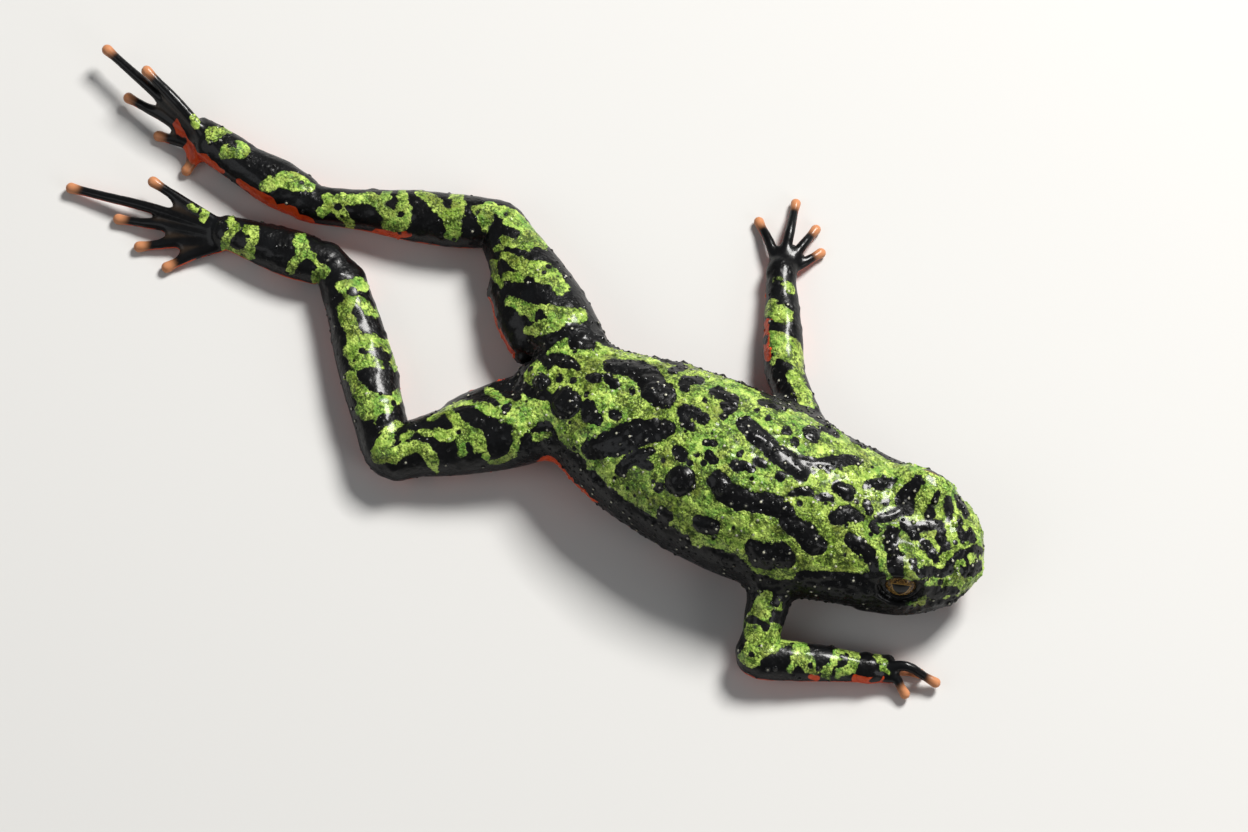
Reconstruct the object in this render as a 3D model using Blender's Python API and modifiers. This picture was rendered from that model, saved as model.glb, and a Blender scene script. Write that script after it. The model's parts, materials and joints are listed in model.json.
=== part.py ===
"""A life-size fire-bellied toad in the spread pose of a floating one, laid on a flat floor.

The body frame has its origin under the vent, +X towards the snout, +Y to the toad's left and +Z up,
with the floor at z = 0, and its lengths are millimetres. The finished nodes are in metres, moved so
that the middle of their plan stands on the world's origin.

Every form is a tube or a ball with a distance of its own. The forms melt together as one field, and
one skin is drawn over that field, cut through at the joints and parted into nodes.
"""

import math
from dataclasses import dataclass

import bmesh
import bpy
import numpy as np
from mathutils import Matrix, Vector

MM = 0.001

# Resolutions, gaps and cuts
VOXEL = 0.24
TRIANGLES = 8600
JOINT_GAP = 0.3
EYE_GAP = 0.25
MERGE = 0.000012
SETTLE_ROUNDS = 3
PROBE = 0.05
BIG = 60.0

# Trunk and head, from the vent to the snout:
# (x, y, height of the widest level, half width, rise above it, depth below it)
TRUNK = (
    (0.0, 0.0, 4.3, 0.7, 0.7, 0.8),
    (0.8, -0.1, 4.3, 1.8, 1.7, 1.8),
    (2.4, -0.2, 4.4, 3.1, 2.8, 2.9),
    (4.8, -0.5, 4.4, 4.8, 4.2, 4.0),
    (8.0, -0.9, 4.4, 6.3, 5.5, 4.6),
    (12.0, -1.5, 4.4, 7.5, 6.5, 4.8),
    (16.0, -1.9, 4.5, 8.2, 7.2, 4.9),
    (20.0, -2.3, 4.6, 8.5, 7.6, 5.0),
    (24.0, -2.6, 4.7, 8.6, 7.5, 5.0),
    (28.0, -2.7, 4.7, 8.3, 7.0, 4.9),
    (31.5, -2.6, 4.7, 7.8, 6.3, 4.7),
    (34.5, -2.4, 4.6, 7.3, 5.5, 4.3),
    (37.5, -2.1, 4.6, 7.0, 4.9, 4.0),
    (40.2, -1.9, 4.5, 6.5, 4.4, 3.6),
    (42.6, -1.8, 4.5, 5.5, 3.8, 3.1),
    (44.2, -1.8, 4.4, 4.3, 3.1, 2.5),
    (45.1, -1.8, 4.4, 3.2, 2.4, 1.9),
    (45.7, -1.8, 4.4, 2.0, 1.6, 1.3),
    (46.0, -1.8, 4.4, 0.9, 0.8, 0.7),
)

# Head
HEAD_TURN = math.radians(7)
EYE_MIDDLE = (39.3, -1.65)
EYE_APART = 8.1
EYE_HEIGHT = 7.15
EYE_RADIUS = 1.98
LID_RADIUS = 2.76
LID_OPENING = (1.9, 1.5)
NOSTRIL_APART = 2.9
NOSTRIL_RADIUS = 0.38
MOUTH_HEIGHT = 3.3
MOUTH_REACH = math.radians(100)
MOUTH_GROOVE = 0.3
LIP_RADIUS = 0.55

# Limb sections: (share of the bone, half width, half height)
THIGH = ((0.0, 3.0, 3.3), (0.3, 3.5, 3.4), (0.6, 3.3, 3.0), (0.85, 2.7, 2.6))
KNEE = (2.3, 2.4)
SHANK = ((0.2, 2.5, 2.4), (0.45, 2.45, 2.3), (0.75, 1.9, 1.9))
ANKLE = (1.8, 1.8)
TARSUS = ((0.15, 2.1, 1.9), (0.4, 2.3, 1.95), (0.75, 1.85, 1.75))
HEEL = (1.6, 1.45)
UPPER_ARM = ((0.0, 2.2, 2.4), (0.5, 2.05, 2.1), (0.8, 1.95, 2.0))
ELBOW = (1.85, 1.9)
FOREARM = ((0.3, 1.85, 1.8), (0.7, 1.55, 1.5))
WRIST = (1.3, 1.3)

TOE_RADIUS = 0.47
FINGER_RADIUS = 0.43
TIP_SWELL = 1.12
WEB_THICKNESS = 0.62
WEB_RUNGS = 22
WEB_REACH = 0.72


class Tube:
    """An oval section carried along a line: each row is (x, y, z, half width, rise, depth)."""

    def __init__(self, rows, melt=0.6, blunt=1.0):
        self.rows = resampled(np.array([full_row(row) for row in rows], float))
        aheads = np.gradient(self.rows[:, :3], axis=0)
        self.aheads = aheads / np.linalg.norm(aheads, axis=1)[:, None]
        self.melt = melt
        self.blunt = blunt

    def distance(self, points):
        """About how far each point is outside the tube, negative inside."""
        reach = self.rows[:, 3:].max() + 3.0
        low, high = self.rows[:, :3].min(0) - reach, self.rows[:, :3].max(0) + reach
        found = np.full(len(points), BIG)
        near = np.all((points > low) & (points < high), axis=1)
        if near.any():
            found[near] = self.from_axis(points[near])
        return found

    def from_axis(self, points):
        """The distance, read in the section that belongs to the nearest place on the axis."""
        starts, lines = self.rows[:-1, :3], np.diff(self.rows[:, :3], axis=0)
        nearest = np.full(len(points), np.inf)
        piece, share = np.zeros(len(points), int), np.zeros(len(points))
        for index, (start, line) in enumerate(zip(starts, lines)):
            along = np.clip((points - start) @ line / (line @ line), 0, 1)
            gap = ((points - start - along[:, None] * line) ** 2).sum(axis=1)
            closer = gap < nearest
            nearest[closer], piece[closer], share[closer] = gap[closer], index, along[closer]
        row = self.rows[piece] + share[:, None] * (self.rows[piece + 1] - self.rows[piece])
        ahead = self.aheads[piece] + share[:, None] * (self.aheads[piece + 1] - self.aheads[piece])
        side = np.cross((0, 0, 1), ahead)
        side /= np.linalg.norm(side, axis=1)[:, None]
        up = np.cross(ahead, side)
        offset = points - row[:, :3]
        across, above = (offset * side).sum(axis=1), (offset * up).sum(axis=1)
        beyond = (offset * ahead).sum(axis=1)
        height = np.where(above > 0, row[:, 4], row[:, 5])
        cap = np.minimum(row[:, 3], row[:, 4]) * self.blunt
        size = np.linalg.norm(offset, axis=1) + 1e-9
        ratio = np.sqrt((across / row[:, 3]) ** 2 + (above / height) ** 2 + (beyond / cap) ** 2) + 1e-9
        return size * (1 - 1 / ratio)

    def draw(self, mesh, around=20, cap_rings=4):
        """Adds a closed, coarse tube to the bmesh, for the remesher to start from."""
        centres, aheads = self.rows[:, :3], self.aheads
        rings = []
        turns = np.linspace(0, math.pi / 2, cap_rings + 1)[1:]
        plan = [(0, -math.sin(turn), math.cos(turn)) for turn in turns[::-1]]
        plan += [(index, 0, 1) for index in range(len(centres))]
        plan += [(len(centres) - 1, math.sin(turn), math.cos(turn)) for turn in turns]
        for index, push, swell in plan:
            half, rise, depth = self.rows[index, 3:]
            side = np.cross((0, 0, 1), aheads[index])
            side /= np.linalg.norm(side)
            up = np.cross(aheads[index], side)
            centre = centres[index] + aheads[index] * push * min(half, rise) * self.blunt
            swell = max(swell, 0.02)
            ring = []
            for turn in np.arange(around) / around * 2 * math.pi:
                height = rise if math.sin(turn) > 0 else depth
                spot = centre + swell * (side * half * math.cos(turn) + up * height * math.sin(turn))
                ring.append(mesh.verts.new(spot))
            rings.append(ring)
        for before, after in zip(rings, rings[1:]):
            for index in range(around):
                following = (index + 1) % around
                mesh.faces.new((before[index], before[following], after[following], after[index]))
        mesh.faces.new(rings[0][::-1])
        mesh.faces.new(rings[-1])


@dataclass
class Ball:
    """A ball, or an egg with three half axes along the head's own axes."""

    centre: tuple
    half_axes: tuple
    melt: float = 0.8

    def distance(self, points):
        """About how far each point is outside the ball, negative inside."""
        offset = turned(points - np.array(self.centre), -HEAD_TURN)
        size = np.linalg.norm(offset, axis=1) + 1e-9
        ratio = np.linalg.norm(offset / np.array(self.half_axes), axis=1) + 1e-9
        return size * (1 - 1 / ratio)

    def draw(self, mesh):
        """Adds a closed, coarse ball to the bmesh."""
        place = Matrix.Translation(self.centre) @ Matrix.Rotation(HEAD_TURN, 4, "Z")
        place = place @ Matrix.Diagonal((*self.half_axes, 1))
        bmesh.ops.create_uvsphere(mesh, u_segments=24, v_segments=16, radius=1, matrix=place)


@dataclass
class Digit:
    """A finger or a toe, from its root past its knuckle to its tip."""

    root: tuple
    knuckle: tuple
    tip: tuple
    radius: float = TOE_RADIUS

    def tube(self):
        root, knuckle, tip = map(np.array, (self.root, self.knuckle, self.tip))
        near_tip = tip + (knuckle - tip) * 0.9 / np.linalg.norm(knuckle - tip)
        rows = (
            (*root, self.radius * 1.25),
            (*knuckle, self.radius * 1.08),
            (*(knuckle * 0.4 + tip * 0.6), self.radius * 0.94),
            (*near_tip, self.radius * 0.92),
            (*tip, self.radius * TIP_SWELL),
        )
        return Tube(rows, melt=0.35)

    def length(self):
        return math.dist(self.root, self.knuckle) + math.dist(self.knuckle, self.tip)

    def at(self, share):
        """The point a share of the way from the root to the tip."""
        if share < 0.5:
            return np.array(self.root) + (np.array(self.knuckle) - self.root) * share * 2
        return np.array(self.knuckle) + (np.array(self.tip) - self.knuckle) * (share * 2 - 1)


@dataclass
class Leg:
    """One hind leg: where its joints are, and its five toes from the first to the fifth."""

    side: str
    hip: tuple
    knee: tuple
    ankle: tuple
    heel: tuple
    toes: tuple

    def forms(self):
        rows = bone(self.hip, self.knee, THIGH)
        rows += [(*self.knee, KNEE[0], KNEE[1], KNEE[1])]
        rows += bone(self.knee, self.ankle, SHANK)
        rows += [(*self.ankle, ANKLE[0], ANKLE[1], ANKLE[1])]
        rows += bone(self.ankle, self.heel, TARSUS)
        rows += [(*self.heel, HEEL[0], HEEL[1], HEEL[1])]
        return [Tube(rows, melt=1.6), *(toe.tube() for toe in self.toes), *self.webs()]

    def webs(self):
        """Rungs from toe to toe, close enough together to melt into a membrane."""
        rungs = []
        for inner, outer in zip(self.toes, self.toes[1:]):
            shorter = min(inner.length(), outer.length())
            root = (np.array(inner.root) + outer.root) / 2
            for share in np.linspace(0.05, WEB_REACH, WEB_RUNGS):
                start = inner.at(share * shorter / inner.length())
                end = outer.at(share * shorter / outer.length())
                middle = (start + end) / 2
                middle = middle + (root - middle) * 0.2 * share
                half = WEB_THICKNESS / 2
                rungs.append(Tube(((*start, half), (*middle, half), (*end, half)), melt=0.4))
        return rungs


@dataclass
class Arm:
    """One arm: where its joints are, and its four fingers from the first to the fourth."""

    side: str
    shoulder: tuple
    elbow: tuple
    wrist: tuple
    fingers: tuple

    def forms(self):
        rows = bone(self.shoulder, self.elbow, UPPER_ARM)
        rows += [(*self.elbow, ELBOW[0], ELBOW[1], ELBOW[1])]
        rows += bone(self.elbow, self.wrist, FOREARM)
        rows += [(*self.wrist, WRIST[0], WRIST[1], WRIST[1])]
        palm_end = sum(np.array(finger.at(0.3)) for finger in self.fingers) / len(self.fingers)
        palm = Tube(((*self.wrist, 1.25, 1.1, 1.1), (*palm_end, 1.35, 0.75, 0.75)), melt=0.6)
        return [Tube(rows, melt=1.4), palm, *(finger.tube() for finger in self.fingers)]


LEGS = (
    Leg(
        side="right",
        hip=(5.5, -2.6, 4.1),
        knee=(-8.2, -11.2, 2.5),
        ankle=(-20.5, 3.8, 1.9),
        heel=(-31.0, 3.4, 1.6),
        toes=(
            Digit((-31.2, 2.0, 1.1), (-33.3, 0.3, 0.8), (-35.0, -1.6, 0.5)),
            Digit((-31.4, 2.3, 1.3), (-34.9, 1.0, 0.9), (-38.2, -0.7, 0.5)),
            Digit((-31.5, 2.7, 1.5), (-36.2, 2.0, 1.2), (-41.1, 1.1, 0.5)),
            Digit((-31.5, 3.2, 1.7), (-38.4, 2.9, 1.6), (-46.4, 2.2, 0.7)),
            Digit((-31.3, 3.6, 1.8), (-35.2, 4.3, 2.1), (-39.2, 5.1, 2.4)),
        ),
    ),
    Leg(
        side="left",
        hip=(5.4, 2.6, 4.1),
        knee=(-7.7, 13.3, 2.5),
        ankle=(-24.4, 9.0, 1.8),
        heel=(-35.8, 10.6, 1.9),
        toes=(
            Digit((-36.1, 10.0, 1.2), (-36.9, 9.2, 0.8), (-37.2, 8.0, 0.5)),
            Digit((-36.4, 10.3, 1.5), (-38.8, 10.3, 1.0), (-41.0, 10.2, 0.5)),
            Digit((-36.6, 10.6, 1.9), (-40.8, 11.6, 1.9), (-45.0, 12.4, 1.2)),
            Digit((-36.6, 10.9, 2.3), (-42.2, 13.1, 2.9), (-48.5, 15.6, 2.6)),
            Digit((-36.4, 11.1, 2.7), (-40.1, 12.8, 3.9), (-43.8, 14.4, 4.4)),
        ),
    ),
)

ARMS = (
    Arm(
        side="right",
        shoulder=(28.3, -6.5, 4.8),
        elbow=(30.2, -16.5, 2.1),
        wrist=(39.9, -13.4, 1.4),
        fingers=(
            Digit((40.5, -12.9, 1.0), (41.6, -12.3, 0.7), (42.7, -12.0, 0.45), FINGER_RADIUS),
            Digit((40.7, -13.0, 1.1), (42.5, -12.2, 0.6), (44.3, -11.8, 0.45), FINGER_RADIUS),
            Digit((40.7, -13.1, 1.4), (43.0, -12.1, 2.0), (46.0, -12.2, 0.9), FINGER_RADIUS),
            Digit((40.5, -13.3, 1.4), (42.2, -13.1, 1.5), (43.8, -14.2, 0.7), FINGER_RADIUS),
        ),
    ),
    Arm(
        side="left",
        shoulder=(28.3, 2.0, 4.8),
        elbow=(22.0, 10.4, 2.3),
        wrist=(18.1, 19.4, 1.4),
        fingers=(
            Digit((18.7, 19.9, 1.1), (19.8, 21.4, 1.0), (20.7, 22.9, 0.5), FINGER_RADIUS),
            Digit((18.3, 20.2, 1.2), (18.9, 22.5, 1.3), (19.4, 24.9, 0.5), FINGER_RADIUS),
            Digit((17.9, 20.2, 1.3), (17.4, 23.3, 1.6), (16.7, 26.6, 0.5), FINGER_RADIUS),
            Digit((17.5, 20.0, 1.2), (16.0, 21.8, 1.2), (14.2, 23.6, 0.5), FINGER_RADIUS),
        ),
    ),
)

# Where the skin is cut through: (point, direction across the cut, radius of the cut)
TORSO_CUTS = (
    ((34.2, -2.4, 5.0), (1.0, 0.05, 0.0), 8.9),
    ((28.7, -11.2, 3.8), (0.08, -1.0, -0.1), 3.6),
    ((24.3, 7.0, 3.8), (-0.25, 1.0, 0.0), 4.2),
    ((0.8, -5.2, 3.4), (-1.0, -0.6, 0.0), 5.1),
    ((0.6, 6.2, 3.4), (-1.0, 0.75, 0.0), 5.1),
)

# Collections
scene = bpy.context.scene


def full_row(row):
    """A row of (x, y, z, radius) made as long as one of (x, y, z, half width, rise, depth)."""
    return (*row[:4], row[3], row[3]) if len(row) == 4 else row


def resampled(rows, spacing=0.7):
    """Rows along a smooth curve through the given ones, about a spacing apart."""
    padded = np.vstack([2 * rows[0] - rows[1], rows, 2 * rows[-1] - rows[-2]])
    found = []
    for before, start, end, after in zip(padded, padded[1:], padded[2:], padded[3:]):
        count = max(1, round(float(np.linalg.norm(end[:3] - start[:3])) / spacing))
        for share in np.arange(count) / count:
            swing = (end - before) * share
            swing = swing + (2 * before - 5 * start + 4 * end - after) * share**2
            swing = swing + (3 * start - before - 3 * end + after) * share**3
            found.append(start + swing / 2)
    found.append(rows[-1])
    return np.array(found)


def bone(start, end, sections):
    """Rows along a bone from its sections of (share, half width, half height)."""
    start, end = np.array(start), np.array(end)
    return [(*(start + (end - start) * share), half, tall, tall) for share, half, tall in sections]


def turned(points, angle):
    """The points turned about the upright axis."""
    sine, cosine = math.sin(angle), math.cos(angle)
    x, y, z = points.T
    return np.stack([x * cosine - y * sine, x * sine + y * cosine, z], axis=1)


def melted(first, second, reach):
    """The smaller of two distances, rounded where they are close."""
    blend = np.clip(0.5 + 0.5 * (second - first) / reach, 0, 1)
    return second + (first - second) * blend - reach * blend * (1 - blend)


def in_head(ahead, left, up):
    """A point given from the middle between the eyes, along the head's own axes."""
    spot = turned(np.array([[ahead, left, 0.0]]), HEAD_TURN)[0]
    return np.array([EYE_MIDDLE[0] + spot[0], EYE_MIDDLE[1] + spot[1], up])


def eye_centres():
    return {"left": in_head(0, EYE_APART / 2, EYE_HEIGHT), "right": in_head(0, -EYE_APART / 2, EYE_HEIGHT)}


class Field:
    """All the forms melted together, with grooves taken out."""

    def __init__(self, forms):
        self.forms = forms
        self.grooves = []

    def distance(self, points):
        found = self.forms[0].distance(points)
        for form in self.forms[1:]:
            found = melted(found, form.distance(points), form.melt)
        for groove in self.grooves:
            found = -melted(-found, groove.distance(points), groove.melt)
        return found

    def surface_from(self, start, direction, furthest=14.0):
        """The point where a line leaves the field."""
        direction = np.array(direction) / np.linalg.norm(direction)
        steps = np.linspace(0, furthest, 600)
        outside = self.distance(start + steps[:, None] * direction) > 0
        return start + steps[int(np.argmax(outside))] * direction


def lip_line(field, height, inset=0.0):
    """The points round the head's edge at a height, from one corner of the mouth to the other."""
    start = in_head(-1.8, -0.4, height)
    found = []
    for turn in np.linspace(-MOUTH_REACH, MOUTH_REACH, 41) + HEAD_TURN:
        direction = np.array([math.cos(turn), math.sin(turn), 0])
        found.append(field.surface_from(start, direction) - direction * inset)
    return found


def build_field():
    """The whole toad's flesh, without the eyeballs."""
    forms = [Tube(TRUNK, blunt=0.3)]
    field = Field(forms)
    upper_lip = [(*spot, LIP_RADIUS) for spot in lip_line(field, MOUTH_HEIGHT + 0.6, LIP_RADIUS - 0.12)]
    lower_lip = [(*spot, LIP_RADIUS) for spot in lip_line(field, MOUTH_HEIGHT - 0.6, LIP_RADIUS - 0.12)]
    forms += [Tube(upper_lip, melt=0.5), Tube(lower_lip, melt=0.5)]
    for centre in eye_centres().values():
        forms.append(Ball(tuple(centre), (LID_RADIUS * 1.08, LID_RADIUS, LID_RADIUS), melt=1.0))
    for limb in (*LEGS, *ARMS):
        forms += limb.forms()
    mouth = [(*spot, MOUTH_GROOVE) for spot in lip_line(field, MOUTH_HEIGHT)]
    field.grooves.append(Tube(mouth, melt=0.15))
    return field


def nostrils(field):
    """Where the nostrils open on the snout."""
    for side in (-1, 1):
        direction = turned(np.array([[1.0, side * 0.45, 0.0]]), HEAD_TURN)[0]
        yield field.surface_from(in_head(3.2, side * NOSTRIL_APART * 0.36, 6.0), direction)


def new_collection(name, hidden=False):
    made = bpy.data.collections.new(name)
    scene.collection.children.link(made)
    made.hide_render = hidden
    return made


def add_object(name, mesh, collection):
    made = bpy.data.objects.new(name, mesh)
    collection.objects.link(made)
    return made


def mesh_from(bm, name):
    bmesh.ops.recalc_face_normals(bm, faces=bm.faces)
    mesh = bpy.data.meshes.new(name)
    bm.to_mesh(mesh)
    bm.free()
    return mesh


def apply_modifiers(item):
    """Bakes the modifiers of an object into its mesh."""
    graph = bpy.context.evaluated_depsgraph_get()
    baked = bpy.data.meshes.new_from_object(item.evaluated_get(graph))
    item.modifiers.clear()
    old, item.data = item.data, baked
    bpy.data.meshes.remove(old)


def remesh(item, size):
    modifier = item.modifiers.new("Even faces", "REMESH")
    modifier.mode = "VOXEL"
    modifier.voxel_size = size * MM
    apply_modifiers(item)


def settle(item, field, rounds):
    """Moves each point of a mesh along its normal onto the field's skin."""
    mesh = item.data
    for _ in range(rounds):
        points = np.empty(len(mesh.vertices) * 3)
        mesh.vertices.foreach_get("co", points)
        points = points.reshape(-1, 3) / MM
        normals = np.empty(len(mesh.vertices) * 3)
        mesh.vertices.foreach_get("normal", normals)
        normals = normals.reshape(-1, 3)
        gaps = field.distance(points)
        slopes = (field.distance(points + normals * PROBE) - gaps) / PROBE
        steps = np.clip(gaps / np.maximum(slopes, 0.6), -0.5, 0.5)
        points -= normals * steps[:, None]
        mesh.vertices.foreach_set("co", (points * MM).ravel())
        mesh.update()


def relax(item, rounds, factor=0.5):
    modifier = item.modifiers.new("Relax", "SMOOTH")
    modifier.iterations = rounds
    modifier.factor = factor
    apply_modifiers(item)


def make_skin(field, collection):
    """One closed skin over the whole field."""
    bm = bmesh.new()
    for form in field.forms:
        form.draw(bm)
    bmesh.ops.scale(bm, vec=(MM, MM, MM), verts=bm.verts)
    skin = add_object("skin", mesh_from(bm, "skin"), collection)
    remesh(skin, VOXEL)
    settle(skin, field, 1)
    remesh(skin, VOXEL)
    settle(skin, field, SETTLE_ROUNDS)
    relax(skin, 3)
    settle(skin, field, 2)
    return skin


def decimate(item, triangles):
    count = sum(len(face.vertices) - 2 for face in item.data.polygons)
    modifier = item.modifiers.new("Fewer faces", "DECIMATE")
    modifier.ratio = min(1, triangles / count)
    apply_modifiers(item)


def add_disc(name, centre, direction, radius, collection):
    """A thin disc that cuts through the skin at a joint."""
    bm = bmesh.new()
    turn = Vector((0, 0, 1)).rotation_difference(Vector(direction)).to_matrix().to_4x4()
    place = Matrix.Translation(Vector(centre) * MM) @ turn
    bmesh.ops.create_cone(
        bm, cap_ends=True, segments=16, radius1=radius * MM, radius2=radius * MM,
        depth=JOINT_GAP * MM, matrix=place,
    )
    return cutter(name, bm, collection)


def cutter(name, bm, collection):
    made = add_object(name, mesh_from(bm, name), collection)
    made.display_type = "WIRE"
    made.hide_render = True
    return made


def limb_cuts():
    """The joints in a limb: (point, direction across the cut, radius)."""
    for leg in LEGS:
        yield bend(leg.hip, leg.knee, leg.ankle, 4.3)
        yield bend(leg.knee, leg.ankle, leg.heel, 3.0)
        yield bend(leg.ankle, leg.heel, leg.toes[3].knuckle, 2.4)
    for arm in ARMS:
        yield bend(arm.shoulder, arm.elbow, arm.wrist, 3.2)
        yield bend(arm.elbow, arm.wrist, arm.fingers[2].knuckle, 2.1)


def bend(before, joint, after, radius):
    """The level plane halfway round a joint."""
    first = (Vector(joint) - Vector(before)).normalized()
    second = (Vector(after) - Vector(joint)).normalized()
    across = first + second
    return joint, (across.x, across.y, 0), radius


def add_cutters(field, collection):
    for number, cut in enumerate((*TORSO_CUTS, *limb_cuts())):
        add_disc(f"cut_{number:02d}", *cut, collection)
    floor = bmesh.new()
    place = Matrix.Translation((0, 0, -BIG * MM)) @ Matrix.Diagonal((6 * BIG * MM, 6 * BIG * MM, 2 * BIG * MM, 1))
    bmesh.ops.create_cube(floor, size=1, matrix=place)
    cutter("floor_cut", floor, collection)
    for number, spot in enumerate(nostrils(field)):
        hole = bmesh.new()
        place = Matrix.Translation(Vector(spot) * MM)
        bmesh.ops.create_uvsphere(hole, u_segments=10, v_segments=6, radius=NOSTRIL_RADIUS * MM, matrix=place)
        cutter(f"nostril_{number}", hole, collection)
    for side, centre in eye_centres().items():
        socket = bmesh.new()
        bmesh.ops.create_uvsphere(
            socket, u_segments=18, v_segments=12, radius=(EYE_RADIUS + EYE_GAP) * MM,
            matrix=Matrix.Translation(Vector(centre) * MM),
        )
        cutter(f"socket_{side}", socket, collection)
        cutter(f"lid_gap_{side}", lid_gap(centre, 1 if side == "left" else -1), collection)


def lid_gap(centre, side):
    """The almond between the lids, as a wedge that opens outwards from inside the eye."""
    out = Vector((0.18, side * 0.86, 0.42)).normalized()
    ahead = Vector((1, 0, 0)).cross(out).cross(out).normalized()
    up = out.cross(ahead)
    bm = bmesh.new()
    rings = []
    for reach, swell in ((0.6, 0.6), (3.6, 1.55)):
        ring = []
        for turn in np.arange(20) / 20 * 2 * math.pi:
            wide = LID_OPENING[0] * swell * math.cos(turn)
            tall = LID_OPENING[1] * swell * math.sin(turn) * abs(math.sin(turn)) ** 0.25
            spot = Vector(centre) + out * reach + ahead * wide + up * tall
            spot = turned_about(spot, centre)
            ring.append(bm.verts.new(spot * MM))
        rings.append(ring)
    for index in range(20):
        following = (index + 1) % 20
        bm.faces.new((rings[0][index], rings[0][following], rings[1][following], rings[1][index]))
    bm.faces.new(rings[0])
    bm.faces.new(rings[1])
    return bm


def turned_about(spot, centre):
    offset = turned(np.array([spot - Vector(centre)]), HEAD_TURN)[0]
    return Vector(centre) + Vector(offset)


def cut_apart(skin, cutters):
    modifier = skin.modifiers.new("Joint gaps", "BOOLEAN")
    modifier.operation = "DIFFERENCE"
    modifier.operand_type = "COLLECTION"
    modifier.collection = cutters
    modifier.solver = "EXACT"
    apply_modifiers(skin)


def pieces_of(skin):
    """The loose pieces of a mesh, as (middle, list of corner points, faces)."""
    bm = bmesh.new()
    bm.from_mesh(skin.data)
    bm.verts.ensure_lookup_table()
    seen = set()
    for seed in bm.verts:
        if seed.index in seen:
            continue
        seen.add(seed.index)
        piece, waiting = [], [seed]
        while waiting:
            vert = waiting.pop()
            piece.append(vert)
            for edge in vert.link_edges:
                other = edge.other_vert(vert)
                if other.index not in seen:
                    seen.add(other.index)
                    waiting.append(other)
        places = {vert.index: number for number, vert in enumerate(piece)}
        faces = {face for vert in piece for face in vert.link_faces}
        spots = [tuple(vert.co) for vert in piece]
        yield spots, [[places[vert.index] for vert in face.verts] for face in sorted(faces, key=lambda f: f.index)]
    bm.free()


def node_anchors():
    """A point well inside each flesh node, by the node's name."""
    anchors = {"head": (40.0, -1.9, 4.5), "torso": (18.0, -2.1, 5.0)}
    for leg in LEGS:
        anchors[f"thigh_{leg.side}"] = between(leg.hip, leg.knee, 0.7)
        anchors[f"shank_{leg.side}"] = between(leg.knee, leg.ankle)
        anchors[f"tarsus_{leg.side}"] = between(leg.ankle, leg.heel)
        anchors[f"foot_{leg.side}"] = between(leg.heel, leg.toes[2].tip)
    for arm in ARMS:
        anchors[f"upper_arm_{arm.side}"] = between(arm.shoulder, arm.elbow, 0.75)
        anchors[f"forearm_{arm.side}"] = between(arm.elbow, arm.wrist)
        anchors[f"hand_{arm.side}"] = between(arm.wrist, arm.fingers[2].tip)
    return anchors


def between(start, end, share=0.5):
    return tuple(np.array(start) + (np.array(end) - start) * share)


def part_into_nodes(skin, collection):
    """Each loose piece becomes the node whose anchor is nearest to its middle."""
    pieces = [piece for piece in pieces_of(skin) if len(piece[0]) > 40]
    bpy.data.objects.remove(skin)
    for name, anchor in node_anchors().items():
        gaps = [np.linalg.norm((np.max(p[0], 0) + np.min(p[0], 0)) / 2 / MM - anchor) for p in pieces]
        spots, faces = pieces.pop(int(np.argmin(gaps)))
        mesh = bpy.data.meshes.new(name)
        mesh.from_pydata(spots, [], faces)
        tidy(mesh)
        add_object(name, mesh, collection)


def tidy(mesh):
    """Removes the slivers that cutting leaves."""
    bm = bmesh.new()
    bm.from_mesh(mesh)
    bmesh.ops.remove_doubles(bm, verts=bm.verts, dist=MERGE)
    bmesh.ops.dissolve_degenerate(bm, dist=MERGE, edges=bm.edges)
    bmesh.ops.triangulate(bm, faces=bm.faces)
    bm.to_mesh(mesh)
    bm.free()


def add_eyes(collection):
    for side, centre in eye_centres().items():
        bm = bmesh.new()
        place = Matrix.Translation(Vector(centre) * MM)
        bmesh.ops.create_uvsphere(bm, u_segments=16, v_segments=10, radius=EYE_RADIUS * MM, matrix=place)
        add_object(f"eye_{side}", mesh_from(bm, f"eye_{side}"), collection)


def paint(item, colour, roughness):
    material = bpy.data.materials.new(item.name)
    material.use_nodes = True
    shader = material.node_tree.nodes["Principled BSDF"]
    shader.inputs["Base Color"].default_value = (*colour, 1)
    shader.inputs["Roughness"].default_value = roughness
    item.data.materials.append(material)


def stand_on_origin(collection):
    """Puts the middle of the plan on the origin, and each node's own origin at its middle."""
    items = list(collection.objects)
    corners = np.array([vert.co for item in items for vert in item.data.vertices])
    low, high = corners.min(0), corners.max(0)
    shift = Vector(((low[0] + high[0]) / 2, (low[1] + high[1]) / 2, low[2]))
    whole = bpy.data.objects.new("toad_origin", None)
    collection.objects.link(whole)
    for item in items:
        spots = np.array([vert.co for vert in item.data.vertices])
        middle = Vector((spots.min(0) + spots.max(0)) / 2)
        item.data.transform(Matrix.Translation(-middle))
        item.location = middle - shift
        item.parent = whole
        item.data.shade_smooth()
        item.data.set_sharp_from_angle(angle=math.radians(50))


def main():
    for item in list(bpy.data.objects):
        bpy.data.objects.remove(item)
    toad = new_collection("toad")
    cutters = new_collection("cutters", hidden=True)
    field = build_field()
    skin = make_skin(field, toad)
    decimate(skin, TRIANGLES)
    add_cutters(field, cutters)
    cut_apart(skin, cutters)
    part_into_nodes(skin, toad)
    add_eyes(toad)
    for item in toad.objects:
        eye = item.name.startswith("eye")
        paint(item, (0.02, 0.015, 0.01) if eye else (0.12, 0.3, 0.03), 0.15 if eye else 0.45)
    stand_on_origin(toad)


main()
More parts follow.
